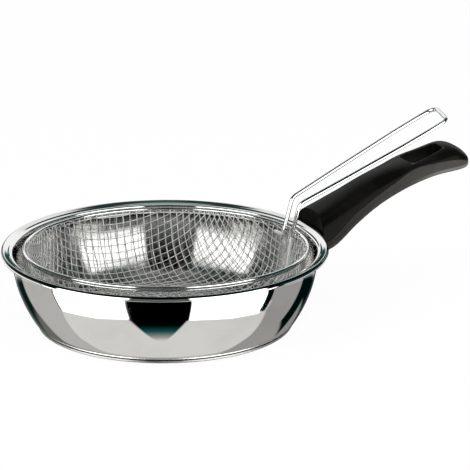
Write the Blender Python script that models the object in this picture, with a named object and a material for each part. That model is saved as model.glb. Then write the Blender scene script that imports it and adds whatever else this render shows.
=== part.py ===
"""Frying pan with a lift-out wire basket, modelled piece by piece.

Lengths are in metres and +Z is up. The pan stands on z = 0 with its axis on
the Z axis, and its handle points along +X.
"""
import math

import bmesh
import bpy
from mathutils import Matrix, Vector

# Clearances between pieces that touch
TOUCH_GAP = 0.0003
CUT_OVERRUN = 0.004
SEAM_MERGE = 0.000001

# Pan body: a drawn bowl with a stepped, rolled lip
PAN_HEIGHT = 0.0645
LIP_RADIUS = 0.1336
LIP_ROLL_HEIGHT = 0.0026
LIP_BAND_WIDTH = 0.0049
LIP_STEP_DEPTH = 0.0012
LEDGE_WIDTH = 0.0042
LEDGE_DROP = 0.0014
SHEET = 0.0009
WALL_TOP_DROP = 0.0062
WALL_FLARE = 0.0178
WALL_CURVE_POWER = 2.0
WALL_ROWS = 9
PAN_STEPS = 72

# Sandwich base
CAP_INSET = 0.0021
CAP_HEIGHT = 0.0040
CAP_SHEET = 0.0006
CAP_EDGE_RADIUS = 0.0011
CAP_EDGE_ROWS = 3
BASE_STEPS = 64

# Handle grip: a swept phenolic moulding
GRIP_ROOT_LAP = 0.0076
GRIP_LENGTH = 0.1446
GRIP_NOSE_LENGTH = 0.0255
GRIP_ROOT_HALF_WIDTH = 0.0255
GRIP_WAIST_HALF_WIDTH = 0.0183
GRIP_END_HALF_WIDTH = 0.0205
GRIP_CROWN_RISES = (0.0090, 0.0179, 0.0269, 0.0356, 0.0421, 0.0471, 0.0523, 0.0577, 0.0590)
GRIP_UNDER_RISES = (-0.0185, -0.0123, 0.0013, 0.0130, 0.0223, 0.0298, 0.0352, 0.0375, 0.0384)
GRIP_NOSE_HEIGHT = 0.0055
GRIP_NOSE_POWER = 2.2
GRIP_STATION_POWER = 1.25
GRIP_SCALLOP_DEPTH = 0.0022
GRIP_FLANGE_HEIGHT = 0.0036
GRIP_FLANGE_INSET = 0.0012
GRIP_STATIONS = 26
GRIP_CROWN_POWER = 2.3
GRIP_CROWN_POINTS = 11
GRIP_BAND_POINTS = 4
GRIP_RIDGE_SHARES = (0.14, 0.31, 0.42, 0.445, 0.56, 0.80, 0.66, 0.50, 0.45)
GRIP_SCALLOP_SHARES = (0.5, 1.0, 1.0, 1.0, 1.0, 0.8, 0.3, 0.0, 0.0)
GRIP_FIT_GAP = 0.0006

# Hang slot in the grip
SLOT_END_MARGIN = 0.0260
SLOT_LENGTH = 0.0310
SLOT_WIDE_HALF = 0.0137
SLOT_NARROW_HALF = 0.0088
SLOT_WIDE_CORNER = 0.0045
SLOT_NARROW_CORNER = 0.0025
SLOT_BOW = 0.0010

# Bracket that carries the grip
BRACKET_SHEET = 0.0016
BRACKET_WIDTH = 0.0200
BRACKET_DEPTH = 0.0090
BRACKET_REACH = 0.0400
BRACKET_ROOT_DROP = 0.0170
BRACKET_SLOPE = math.radians(38.0)
BRACKET_FOOT_HALF_WIDTH = 0.0190
BRACKET_FOOT_HEIGHT = 0.0170
BRACKET_FOOT_STEPS = 6
BRACKET_FOOT_ROWS = 4

# Screw and nut that hold the grip on the bracket
SCREW_PLACE = 0.0310
SCREW_RADIUS = 0.0020
SCREW_HEAD_RADIUS = 0.0042
SCREW_HEAD_HEIGHT = 0.0020
SCREW_HOLE_RADIUS = 0.0024
SCREW_HEAD_RECESS = 0.0029
SCREW_STEPS = 20
NUT_ACROSS_CORNERS = 0.0092
NUT_HEIGHT = 0.0036
WASHER_RADIUS = 0.0040
WASHER_HEIGHT = 0.0006

# Basket: rim wires
RIM_PLANE_DROP = 0.0009
RIM_CLEARANCE = 0.0079
RIM_WIRE_RADIUS = 0.0015
RIM_WIRE_SIDES = 8
HEM_WIRE_RADIUS = 0.0008
HEM_WIRE_SIDES = 6
RIM_STEPS = 72
BASKET_SHIFT = 0.0012
BASKET_LEAN = math.radians(1.3)
BASKET_LEAN_SIDE = math.radians(65.0)

# Basket: net of square mesh pressed into a bowl
NET_PITCH = 0.0134
NET_WIRE = 0.0012
NET_WALL_ANGLE = math.radians(8.0)
NET_CORNER_RADIUS = 0.0280
NET_SNAP_SHARE = 0.30
NET_SOLVER_STEPS = 12
NET_SOLVER_NUDGE = 0.00001

# Basket handle: one rod bent into a long loop
ROD_RADIUS = 0.0016
ROD_ROUNDING_STEPS = 2
LOOP_FOOT_HALF_GAP = 0.0074
LOOP_BEND_HALF_GAP = 0.0097
LOOP_BEND_OUT = 0.0064
LOOP_BEND_RISE = 0.0256
LOOP_BEND_RADIUS = 0.0085
LOOP_REACH = 0.1349
LOOP_RISE = 0.0905
LOOP_SKEW = math.radians(-7.4)
LOOP_ROLL = math.radians(2.0)
LOOP_END_RADIUS = 0.0050
LOOP_END_SLANT = 0.0022
LOOP_HALF_WIDTH_SHARES = ((0.0, 0.49), (0.35, 0.745), (0.70, 0.955), (0.88, 1.0), (1.0, 0.985))
LOOP_HALF_WIDTH = 0.0198
LEG_DEPTH = 0.0330
LEG_BEND_RADIUS = 0.0120
HOOK_DROP = 0.0050
HOOK_ARC_LENGTH = 0.0130
HOOK_BEND_RADIUS = 0.0030
ROD_POINT_SPACING = 0.0050

# Sizes that follow from the ones above
FLOOR_UNDERSIDE = CAP_HEIGHT + TOUCH_GAP
FLOOR_TOP = FLOOR_UNDERSIDE + SHEET
WALL_TOP_HEIGHT = PAN_HEIGHT - WALL_TOP_DROP
MOUTH_RADIUS = LIP_RADIUS - LIP_BAND_WIDTH - LEDGE_WIDTH - SHEET
WALL_TOP_RADIUS = MOUTH_RADIUS + SHEET
WALL_FOOT_RADIUS = WALL_TOP_RADIUS - WALL_FLARE
CAP_RADIUS = WALL_FOOT_RADIUS - CAP_INSET
GRIP_START = LIP_RADIUS - GRIP_ROOT_LAP
GRIP_END = LIP_RADIUS + GRIP_LENGTH
GRIP_NOSE_START = GRIP_END - GRIP_NOSE_LENGTH
SLOT_END = GRIP_END - SLOT_END_MARGIN
SLOT_START = SLOT_END - SLOT_LENGTH
BRACKET_ROOT_HEIGHT = PAN_HEIGHT - BRACKET_ROOT_DROP
RIM_PLANE_HEIGHT = PAN_HEIGHT - RIM_PLANE_DROP
RIM_RADIUS = MOUTH_RADIUS - RIM_CLEARANCE
NET_TOP_RADIUS = RIM_RADIUS - RIM_WIRE_RADIUS - TOUCH_GAP - NET_WIRE / 2
LEG_RADIUS_AT_RIM = NET_TOP_RADIUS - NET_WIRE / 2 - TOUCH_GAP - ROD_RADIUS


def clear_scene():
    """Remove whatever the scene holds."""
    for item in list(bpy.data.objects):
        bpy.data.objects.remove(item, do_unlink=True)


def make_material(name, colour, metallic, roughness):
    """Return a Principled material.

    Args:
        name: material name.
        colour: linear red, green and blue.
        metallic: metallic share.
        roughness: roughness share.
    """
    material = bpy.data.materials.new(name)
    material.use_nodes = True
    shader = material.node_tree.nodes["Principled BSDF"]
    shader.inputs["Base Color"].default_value = (*colour, 1.0)
    shader.inputs["Metallic"].default_value = metallic
    shader.inputs["Roughness"].default_value = roughness
    material.diffuse_color = (*colour, 1.0)
    return material


def link(name, mesh, material, parent=None):
    """Place a mesh or curve in the scene as a named piece."""
    piece = bpy.data.objects.new(name, mesh)
    bpy.context.scene.collection.objects.link(piece)
    mesh.materials.append(material)
    piece.parent = parent
    return piece


def finish_mesh(name, bm, smooth_angle=math.radians(35.0)):
    """Turn a bmesh into a mesh with outward faces and smooth shading."""
    bmesh.ops.recalc_face_normals(bm, faces=bm.faces)
    mesh = bpy.data.meshes.new(name)
    bm.to_mesh(mesh)
    bm.free()
    mesh.shade_smooth()
    mesh.set_sharp_from_angle(angle=smooth_angle)
    return mesh


def spin_profile(outline, steps, closed=True):
    """Turn an outline of (radius, height) points about the Z axis.

    Args:
        outline: points of the half section.
        steps: faces round the axis.
        closed: whether the last point joins the first.
    """
    bm = bmesh.new()
    points = [bm.verts.new((radius, 0.0, height)) for radius, height in outline]
    edges = [bm.edges.new((a, b)) for a, b in zip(points, points[1:])]
    if closed:
        edges.append(bm.edges.new((points[-1], points[0])))
    bmesh.ops.spin(
        bm,
        geom=points + edges,
        cent=(0.0, 0.0, 0.0),
        axis=(0.0, 0.0, 1.0),
        angle=math.tau,
        steps=steps,
        use_merge=True,
    )
    bmesh.ops.remove_doubles(bm, verts=bm.verts, dist=SEAM_MERGE)
    return bm


def hide_cutter(cutter):
    """Mark a cutter as a guide."""
    cutter.hide_render = True
    cutter.display_type = "WIRE"


def cut(piece, cutter, operation="DIFFERENCE"):
    """Add an exact Boolean to a piece."""
    hide_cutter(cutter)
    modifier = piece.modifiers.new(cutter.name, "BOOLEAN")
    modifier.operation = operation
    modifier.solver = "EXACT"
    modifier.object = cutter


def rounded_path(corners, spacing):
    """Return points along straight runs joined by round bends.

    Args:
        corners: list of (point, bend radius); the ends' radii are not used.
        spacing: largest step between points on a run.
    """
    path = [corners[0][0].copy()]
    for before, here, after in zip(corners, corners[1:], corners[2:]):
        point, radius = here
        back = (before[0] - point).normalized()
        ahead = (after[0] - point).normalized()
        angle = back.angle(ahead)
        reach = radius / math.tan(angle / 2)
        reach = min(reach, (before[0] - point).length / 2, (after[0] - point).length / 2)
        radius = reach * math.tan(angle / 2)
        centre = point + (back + ahead).normalized() * (radius / math.sin(angle / 2))
        start = point + back * reach - centre
        stop = point + ahead * reach - centre
        axis = start.cross(stop).normalized()
        sweep = math.pi - angle
        turns = max(2, math.ceil(sweep / math.radians(22.0)))
        for step in range(turns + 1):
            arm = start.copy()
            arm.rotate(Matrix.Rotation(sweep * step / turns, 3, axis))
            path.append(centre + arm)
    path.append(corners[-1][0].copy())
    dense = [path[0]]
    for nearer, further in zip(path, path[1:]):
        pieces = max(1, round((further - nearer).length / spacing / 3))
        for step in range(1, pieces + 1):
            dense.append(nearer.lerp(further, step / pieces))
    return dense


# Pan body

def wall_radius(height):
    """Return the outer radius of the wall at a height."""
    share = (WALL_TOP_HEIGHT - height) / (WALL_TOP_HEIGHT - FLOOR_UNDERSIDE)
    share = min(max(share, 0.0), 1.0)
    return WALL_TOP_RADIUS - (WALL_TOP_RADIUS - WALL_FOOT_RADIUS) * share ** WALL_CURVE_POWER


def wall_points(offset):
    """Return the wall's points from foot to top, moved inward by an offset."""
    points = []
    for row in range(WALL_ROWS + 1):
        height = FLOOR_UNDERSIDE + (WALL_TOP_HEIGHT - FLOOR_UNDERSIDE) * row / WALL_ROWS
        radius = wall_radius(height) - offset
        points.append((radius, max(height, FLOOR_UNDERSIDE + offset)))
    return points


def lip_points():
    """Return the lip's points from the mouth over the crest to the wall."""
    band = LIP_RADIUS - LIP_BAND_WIDTH
    ledge_top = PAN_HEIGHT - LIP_STEP_DEPTH
    roll = LIP_ROLL_HEIGHT / 2
    return [
        (MOUTH_RADIUS + SHEET / 3, ledge_top - LEDGE_DROP - SHEET),
        (MOUTH_RADIUS + SHEET, ledge_top - LEDGE_DROP),
        (band - LEDGE_WIDTH / 3, ledge_top - LEDGE_DROP / 4),
        (band, ledge_top),
        (band + SHEET / 2, PAN_HEIGHT - LIP_STEP_DEPTH / 4),
        (band + LIP_BAND_WIDTH / 3, PAN_HEIGHT),
        (LIP_RADIUS - roll, PAN_HEIGHT - LIP_STEP_DEPTH / 4),
        (LIP_RADIUS - roll / 4, PAN_HEIGHT - LIP_STEP_DEPTH / 4 - roll / 2),
        (LIP_RADIUS, PAN_HEIGHT - LIP_STEP_DEPTH / 4 - roll),
        (LIP_RADIUS - roll / 4, PAN_HEIGHT - LIP_ROLL_HEIGHT),
        (LIP_RADIUS - roll, PAN_HEIGHT - LIP_STEP_DEPTH / 4 - LIP_ROLL_HEIGHT),
        (LIP_RADIUS - roll * 2, PAN_HEIGHT - LIP_ROLL_HEIGHT),
        (band + SHEET, PAN_HEIGHT - SHEET - LIP_STEP_DEPTH),
        (band, ledge_top - SHEET * 4 / 3),
        (WALL_TOP_RADIUS + LEDGE_WIDTH / 2, ledge_top - LEDGE_DROP - SHEET),
        (WALL_TOP_RADIUS + SHEET / 3, ledge_top - LEDGE_DROP - SHEET * 2),
    ]


def build_pan_body(material):
    """Build the bowl as one sheet from the floor's centre to the lip."""
    inner = wall_points(SHEET)
    outer = wall_points(0.0)
    outline = [(0.0, FLOOR_TOP)]
    outline += inner
    outline += lip_points()
    outline += list(reversed(outer))
    outline += [(0.0, FLOOR_UNDERSIDE)]
    bm = spin_profile(outline, PAN_STEPS, closed=False)
    return link("pan_body", finish_mesh("pan_body", bm, math.radians(50.0)), material)


# Base

def build_base_cap(material):
    """Build the capsule that closes the base: a shallow dish with a rounded edge."""
    outline = [(0.0, 0.0)]
    for row in range(CAP_EDGE_ROWS + 1):
        angle = math.pi / 2 * row / CAP_EDGE_ROWS
        outline.append((
            CAP_RADIUS - CAP_EDGE_RADIUS + CAP_EDGE_RADIUS * math.sin(angle),
            CAP_EDGE_RADIUS - CAP_EDGE_RADIUS * math.cos(angle),
        ))
    outline += [
        (CAP_RADIUS, CAP_HEIGHT),
        (CAP_RADIUS - CAP_SHEET, CAP_HEIGHT),
        (CAP_RADIUS - CAP_SHEET, CAP_EDGE_RADIUS),
        (CAP_RADIUS - CAP_EDGE_RADIUS, CAP_SHEET),
        (0.0, CAP_SHEET),
    ]
    bm = spin_profile(outline, BASE_STEPS, closed=False)
    return link("base_cap", finish_mesh("base_cap", bm), material)


def build_base_core(material):
    """Build the heat-spreading disc inside the base."""
    radius = CAP_RADIUS - CAP_EDGE_RADIUS - TOUCH_GAP
    low = CAP_SHEET + TOUCH_GAP
    bm = spin_profile([(0.0, low), (radius, low), (radius, CAP_HEIGHT), (0.0, CAP_HEIGHT)],
                      BASE_STEPS, closed=False)
    return link("base_core", finish_mesh("base_core", bm), material)


# Grip

def grip_share(place):
    """Return how far along the grip a place lies, from 0 to 1."""
    return (place - GRIP_START) / (GRIP_END - GRIP_START)


def table_value(share, values):
    """Read a table of evenly spaced values smoothly at a share of its length."""
    span = len(values) - 1
    index = min(int(share * span), span - 1)
    part = share * span - index
    here = values[index]
    ahead = values[index + 1]
    slope_here = (ahead - values[max(index - 1, 0)]) / (2 if index else 1)
    last = index + 1 == span
    slope_ahead = (values[min(index + 2, span)] - here) / (1 if last else 2)
    change = ahead - here
    bend = 3 * change - 2 * slope_here - slope_ahead
    twist = slope_here + slope_ahead - 2 * change
    return here + part * (slope_here + part * (bend + part * twist))


def grip_nose_share(place):
    """Return how far into the rounded nose a place lies, from 0 to 1."""
    return max(0.0, (place - GRIP_NOSE_START) / (GRIP_END - GRIP_NOSE_START))


def grip_half_width(place):
    """Return half the grip's width at a place along it."""
    share = grip_share(place)
    waist = math.sin(math.pi * share) ** 2
    ends = GRIP_ROOT_HALF_WIDTH * (1 - share) + GRIP_END_HALF_WIDTH * share
    width = ends * (1 - waist) + GRIP_WAIST_HALF_WIDTH * waist
    return width * math.sqrt(1 - grip_nose_share(place) ** 3)


def grip_under(place):
    """Return the height of the grip's underside at a place along it."""
    return PAN_HEIGHT + table_value(grip_share(place), GRIP_UNDER_RISES)


def grip_top(place):
    """Return the height of the grip's crown at a place along it."""
    crown = PAN_HEIGHT + table_value(grip_share(place), GRIP_CROWN_RISES)
    tip = grip_under(place) + GRIP_NOSE_HEIGHT
    nose = grip_nose_share(place) ** GRIP_NOSE_POWER
    return crown * (1 - nose) + tip * nose


def grip_section(place):
    """Return the grip's section at a place along it, as (y, z) points."""
    half = grip_half_width(place)
    top = grip_top(place)
    under = grip_under(place)
    flange = min(GRIP_FLANGE_HEIGHT, (top - under) / 2)
    ridge = max(under + (top - under) * table_value(grip_share(place), GRIP_RIDGE_SHARES),
                under + flange)
    scallop = GRIP_SCALLOP_DEPTH * max(0.0, table_value(grip_share(place), GRIP_SCALLOP_SHARES))
    side = []
    for step in range(GRIP_CROWN_POINTS):
        angle = math.pi / 2 * (1 - step / (GRIP_CROWN_POINTS - 1))
        across = half * math.cos(angle) ** (2 / GRIP_CROWN_POWER)
        up = ridge + (top - ridge) * math.sin(angle) ** (2 / GRIP_CROWN_POWER)
        side.append((max(across, 0.0), up))
    for step in range(1, GRIP_BAND_POINTS):
        part = step / GRIP_BAND_POINTS
        height = ridge + (under + flange - ridge) * part
        side.append((half - scallop * math.sin(math.pi * part), height))
    side.append((half, under + flange))
    side.append((half, under + flange / 3))
    side.append((half - min(GRIP_FLANGE_INSET, half / 3), under))
    left = [(-across, up) for across, up in reversed(side[1:])]
    return side + left


def build_grip_solid(material):
    """Loft the grip through its sections and cap both ends."""
    bm = bmesh.new()
    rings = []
    for index in range(GRIP_STATIONS + 1):
        share = index / GRIP_STATIONS
        share = 1 - (1 - share) ** GRIP_STATION_POWER
        place = GRIP_START + (GRIP_END - GRIP_START) * share
        place = min(place, GRIP_END - TOUCH_GAP / 2)
        rings.append([bm.verts.new((place, y, z)) for y, z in grip_section(place)])
    for near, far in zip(rings, rings[1:]):
        count = len(near)
        for spot in range(count):
            following = (spot + 1) % count
            bm.faces.new((near[spot], near[following], far[following], far[spot]))
    bm.faces.new(rings[0])
    bm.faces.new(rings[-1])
    return link("handle_grip", finish_mesh("handle_grip", bm, math.radians(40.0)), material)


def bracket_frame():
    """Return the matrix of the bracket's arm: X along it, Z square to its web."""
    root = Vector((wall_radius(BRACKET_ROOT_HEIGHT), 0.0, BRACKET_ROOT_HEIGHT))
    return Matrix.Translation(root) @ Matrix.Rotation(-BRACKET_SLOPE, 4, "Y")


def box_mesh(name, low, high, frame):
    """Return a box between two corners, placed by a matrix."""
    bm = bmesh.new()
    bmesh.ops.create_cube(bm, size=1.0)
    size = Vector(high) - Vector(low)
    centre = (Vector(high) + Vector(low)) / 2
    bmesh.ops.scale(bm, vec=size, verts=bm.verts)
    bmesh.ops.translate(bm, vec=centre, verts=bm.verts)
    bmesh.ops.transform(bm, matrix=frame, verts=bm.verts)
    return finish_mesh(name, bm)


def pin_mesh(name, radius, low, high, frame, steps=SCREW_STEPS):
    """Return a round pin between two heights, placed by a matrix."""
    bm = bmesh.new()
    bmesh.ops.create_cone(bm, cap_ends=True, segments=steps, radius1=radius, radius2=radius,
                          depth=high - low)
    bmesh.ops.translate(bm, vec=(0.0, 0.0, (high + low) / 2), verts=bm.verts)
    bmesh.ops.transform(bm, matrix=frame, verts=bm.verts)
    return finish_mesh(name, bm)


def slot_outline():
    """Return the hang slot's outline: a rounded trapezoid, wide towards the pan."""
    corners = [
        (Vector((SLOT_START - SLOT_BOW, 0.0, 0.0)), 0.0),
        (Vector((SLOT_START, SLOT_WIDE_HALF, 0.0)), SLOT_WIDE_CORNER),
        (Vector((SLOT_END, SLOT_NARROW_HALF, 0.0)), SLOT_NARROW_CORNER),
        (Vector((SLOT_END, -SLOT_NARROW_HALF, 0.0)), SLOT_NARROW_CORNER),
        (Vector((SLOT_START, -SLOT_WIDE_HALF, 0.0)), SLOT_WIDE_CORNER),
        (Vector((SLOT_START - SLOT_BOW, 0.0, 0.0)), 0.0),
    ]
    path = rounded_path(corners, SLOT_END)
    return [(point.x, point.y) for point in path[:-1]]


def slot_cutter(material):
    """Build the prism that cuts the hang slot through the grip."""
    bm = bmesh.new()
    low = grip_under(SLOT_START) - CUT_OVERRUN
    high = grip_top(SLOT_END) + CUT_OVERRUN
    loop = [bm.verts.new((x, y, low)) for x, y in slot_outline()]
    face = bm.faces.new(loop)
    raised = bmesh.ops.extrude_face_region(bm, geom=[face])["geom"]
    lifted = [item for item in raised if isinstance(item, bmesh.types.BMVert)]
    bmesh.ops.translate(bm, vec=(0.0, 0.0, high - low), verts=lifted)
    return link("cut_slot", finish_mesh("cut_slot", bm), material)


def screw_frame():
    """Return the matrix of the grip screw: Z up its shank, square to the bracket."""
    return bracket_frame() @ Matrix.Translation(Vector((SCREW_PLACE, 0.0, 0.0)))


def screw_head_seat():
    """Return how far below the bracket's web the screw's head bears."""
    place = (screw_frame() @ Vector((0.0, 0.0, 0.0))).x
    middle = (screw_frame() @ Vector((0.0, 0.0, 0.0))).z
    under = grip_under(place)
    return (middle - under) * math.cos(BRACKET_SLOPE) - SCREW_HEAD_RECESS


def build_grip(material):
    """Build the grip with its socket, hang slot, screw hole and hollowed root."""
    grip = build_grip_solid(material)
    frame = bracket_frame()
    fit = GRIP_FIT_GAP
    half = BRACKET_WIDTH / 2 + fit
    socket = link("cut_socket", box_mesh(
        "cut_socket",
        (-CUT_OVERRUN, -half, -BRACKET_DEPTH / 2 - fit),
        (BRACKET_REACH + fit, half, BRACKET_DEPTH / 2 + fit),
        frame,
    ), material)
    cut(grip, socket)
    root = link("cut_root", pin_mesh(
        "cut_root", LIP_RADIUS + GRIP_FIT_GAP, -CUT_OVERRUN,
        grip_top(GRIP_NOSE_START), Matrix.Identity(4), PAN_STEPS * 2,
    ), material)
    cut(grip, root)
    cut(grip, slot_cutter(material))
    seat = screw_head_seat()
    hole = link("cut_screw_hole", pin_mesh(
        "cut_screw_hole", SCREW_HOLE_RADIUS, -seat - CUT_OVERRUN, 0.0, screw_frame()), material)
    cut(grip, hole)
    recess = link("cut_screw_recess", pin_mesh(
        "cut_screw_recess", SCREW_HEAD_RADIUS + fit, -seat - CUT_OVERRUN * 4, -seat,
        screw_frame()), material)
    cut(grip, recess)
    return grip


# Bracket and fixings

def bracket_foot(material):
    """Build the foot that lies on the pan's wall, as a curved plate."""
    bm = bmesh.new()
    low = BRACKET_ROOT_HEIGHT - BRACKET_FOOT_HEIGHT / 2
    half_turn = BRACKET_FOOT_HALF_WIDTH / WALL_TOP_RADIUS
    layers = []
    for offset in (TOUCH_GAP, TOUCH_GAP + BRACKET_SHEET):
        grid = []
        for row in range(BRACKET_FOOT_ROWS + 1):
            height = low + BRACKET_FOOT_HEIGHT * row / BRACKET_FOOT_ROWS
            radius = wall_radius(height) + offset
            line = []
            for step in range(BRACKET_FOOT_STEPS + 1):
                turn = half_turn * (2 * step / BRACKET_FOOT_STEPS - 1)
                line.append(bm.verts.new((radius * math.cos(turn), radius * math.sin(turn),
                                          height)))
            grid.append(line)
        layers.append(grid)
    for grid in layers:
        for row in range(BRACKET_FOOT_ROWS):
            for step in range(BRACKET_FOOT_STEPS):
                bm.faces.new((grid[row][step], grid[row][step + 1],
                              grid[row + 1][step + 1], grid[row + 1][step]))
    bmesh.ops.bridge_loops(bm, edges=[edge for edge in bm.edges if edge.is_boundary])
    return link("add_bracket_foot", finish_mesh("add_bracket_foot", bm), material)


def wall_cutter(material):
    """Build a plug of the wall's shape that trims the arm's root clear of the pan."""
    outline = [(0.0, FLOOR_UNDERSIDE)]
    outline += [(radius + TOUCH_GAP * 2, height) for radius, height in wall_points(0.0)]
    outline += [(WALL_TOP_RADIUS + TOUCH_GAP * 2, PAN_HEIGHT), (0.0, PAN_HEIGHT)]
    bm = spin_profile(outline, PAN_STEPS * 2, closed=False)
    return link("cut_wall", finish_mesh("cut_wall", bm), material)


def build_bracket(material):
    """Build the stamped bracket: a channel-shaped arm on a curved foot."""
    frame = bracket_frame()
    half = BRACKET_WIDTH / 2
    web = BRACKET_DEPTH / 2
    start = BRACKET_SHEET
    arm = link("handle_bracket", box_mesh(
        "handle_bracket", (-BRACKET_SHEET * 2, -half, -web), (BRACKET_REACH, half, web), frame),
        material)
    cut(arm, wall_cutter(material))
    channel = link("cut_channel", box_mesh(
        "cut_channel",
        (start + BRACKET_SHEET * 3, -half + BRACKET_SHEET, -web - CUT_OVERRUN),
        (BRACKET_REACH + CUT_OVERRUN, half - BRACKET_SHEET, web - BRACKET_SHEET),
        frame,
    ), material)
    cut(arm, channel)
    cut(arm, bracket_foot(material), "UNION")
    clearance = link("cut_bracket_hole", pin_mesh(
        "cut_bracket_hole", SCREW_HOLE_RADIUS, -web, web + CUT_OVERRUN, screw_frame()), material)
    cut(arm, clearance)
    return arm


def build_nut(material):
    """Build the weld nut under the bracket's web."""
    high = BRACKET_DEPTH / 2 - BRACKET_SHEET - TOUCH_GAP
    low = high - NUT_HEIGHT
    nut = link("handle_nut", pin_mesh(
        "handle_nut", NUT_ACROSS_CORNERS / 2, low, high, screw_frame(), 6), material)
    bore = link("cut_nut_bore", pin_mesh(
        "cut_nut_bore", SCREW_HOLE_RADIUS, low - CUT_OVERRUN, high + CUT_OVERRUN,
        screw_frame()), material)
    cut(nut, bore)
    return nut


def build_screw(material):
    """Build the screw whose head bears in the grip's recess."""
    washer_top = -screw_head_seat() - TOUCH_GAP
    head_top = washer_top - WASHER_HEIGHT - TOUCH_GAP
    tip = BRACKET_DEPTH / 2 - BRACKET_SHEET - TOUCH_GAP
    screw = link("handle_screw", pin_mesh(
        "handle_screw", SCREW_HEAD_RADIUS, head_top - SCREW_HEAD_HEIGHT, head_top,
        screw_frame()), material)
    shank = link("add_shank", pin_mesh(
        "add_shank", SCREW_RADIUS, head_top - SCREW_HEAD_HEIGHT / 2, tip, screw_frame()),
        material)
    cut(screw, shank, "UNION")
    return screw


def build_washer(material):
    """Build the washer between the screw's head and the grip."""
    top = -screw_head_seat() - TOUCH_GAP
    washer = link("handle_washer", pin_mesh(
        "handle_washer", WASHER_RADIUS, top - WASHER_HEIGHT, top, screw_frame()), material)
    bore = link("cut_washer_bore", pin_mesh(
        "cut_washer_bore", SCREW_HOLE_RADIUS, top - WASHER_HEIGHT - CUT_OVERRUN,
        top + CUT_OVERRUN, screw_frame()), material)
    cut(washer, bore)
    return washer


# Basket

def basket_origin():
    """Return the empty that stands the basket in the pan, leaning a little."""
    axis = Vector((-math.sin(BASKET_LEAN_SIDE), math.cos(BASKET_LEAN_SIDE), 0.0))
    origin = bpy.data.objects.new("basket_origin", None)
    bpy.context.scene.collection.objects.link(origin)
    origin.location = (BASKET_SHIFT, 0.0, RIM_PLANE_HEIGHT)
    origin.rotation_euler = Matrix.Rotation(BASKET_LEAN, 3, axis).to_euler()
    return origin


def build_ring(name, radius, height, wire, sides, material, parent):
    """Build a closed wire ring."""
    outline = []
    for side in range(sides):
        angle = math.tau * (side + 0.5) / sides
        outline.append((radius + wire * math.cos(angle), height + wire * math.sin(angle)))
    bm = spin_profile(outline, RIM_STEPS)
    return link(name, finish_mesh(name, bm, math.radians(80.0)), material, parent)


def build_rim_wires(material, parent):
    """Build the rim ring and the hem wire under it, both outside the net."""
    build_ring("basket_rim", RIM_RADIUS, 0.0, RIM_WIRE_RADIUS, RIM_WIRE_SIDES, material, parent)
    drop = RIM_WIRE_RADIUS + TOUCH_GAP + HEM_WIRE_RADIUS
    radius = net_radius_at(-drop) + NET_WIRE / 2 + TOUCH_GAP + HEM_WIRE_RADIUS
    build_ring("basket_hem_wire", radius, -drop, HEM_WIRE_RADIUS, HEM_WIRE_SIDES, material, parent)


def net_floor_height():
    """Return the net floor's height below the rim plane, clear of the pan."""
    reach = NET_TOP_RADIUS - NET_CORNER_RADIUS
    lean_drop = reach * math.sin(BASKET_LEAN)
    return FLOOR_TOP + TOUCH_GAP + NET_WIRE / 2 + lean_drop - RIM_PLANE_HEIGHT


def net_lengths():
    """Return the net's meridian: floor radius, corner arc, wall run and corner top."""
    turn = math.pi / 2 - NET_WALL_ANGLE
    corner_top = net_floor_height() + NET_CORNER_RADIUS * (1 - math.cos(turn))
    wall_run = -corner_top / math.cos(NET_WALL_ANGLE)
    corner_radius_out = NET_TOP_RADIUS - wall_run * math.sin(NET_WALL_ANGLE)
    floor = corner_radius_out - NET_CORNER_RADIUS * math.sin(turn)
    return floor, NET_CORNER_RADIUS * turn, wall_run, corner_top


def net_meridian(length):
    """Return the (radius, height) of the net at a length from its centre."""
    floor, arc, wall_run, corner_top = net_lengths()
    if length <= floor:
        return length, net_floor_height()
    if length <= floor + arc:
        angle = (length - floor) / NET_CORNER_RADIUS
        return (floor + NET_CORNER_RADIUS * math.sin(angle),
                net_floor_height() + NET_CORNER_RADIUS * (1 - math.cos(angle)))
    run = length - floor - arc
    turn = math.pi / 2 - NET_WALL_ANGLE
    return (floor + NET_CORNER_RADIUS * math.sin(turn) + run * math.sin(NET_WALL_ANGLE),
            corner_top + run * math.cos(NET_WALL_ANGLE))


def net_radius_at(height):
    """Return the net wall's radius at a height below the rim plane."""
    return NET_TOP_RADIUS + height * math.tan(NET_WALL_ANGLE)


def net_point(place):
    """Return the point of the net at (length, turn)."""
    radius, height = net_meridian(place[0])
    return Vector((radius * math.cos(place[1]), radius * math.sin(place[1]), height))


def next_knot(first, second, corner):
    """Find the knot that lies one pitch from two neighbours.

    Args:
        first: (length, turn) of one neighbour.
        second: (length, turn) of the other neighbour.
        corner: (length, turn) of the knot that both neighbours share.
    """
    floor = net_lengths()[0]
    guess = net_point(first) + net_point(second) - net_point(corner)
    flat = math.hypot(guess.x, guess.y)
    turn = math.atan2(guess.y, guess.x)
    if flat <= floor:
        return flat, turn
    length = first[0] + second[0] - corner[0]
    length = max(length, floor)
    place = [min(length, max(first[0], second[0]) + NET_PITCH), turn]
    for _ in range(NET_SOLVER_STEPS):
        misses = []
        for probe in (place, (place[0] + NET_SOLVER_NUDGE, place[1]),
                      (place[0], place[1] + NET_SOLVER_NUDGE / NET_TOP_RADIUS)):
            point = net_point(probe)
            misses.append(((point - net_point(first)).length - NET_PITCH,
                           (point - net_point(second)).length - NET_PITCH))
        a = (misses[1][0] - misses[0][0]) / NET_SOLVER_NUDGE
        b = (misses[2][0] - misses[0][0]) / (NET_SOLVER_NUDGE / NET_TOP_RADIUS)
        c = (misses[1][1] - misses[0][1]) / NET_SOLVER_NUDGE
        d = (misses[2][1] - misses[0][1]) / (NET_SOLVER_NUDGE / NET_TOP_RADIUS)
        size = a * d - b * c
        if not size:
            break
        place[0] -= (d * misses[0][0] - b * misses[0][1]) / size
        place[1] -= (a * misses[0][1] - c * misses[0][0]) / size
    return place[0], place[1]


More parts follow.
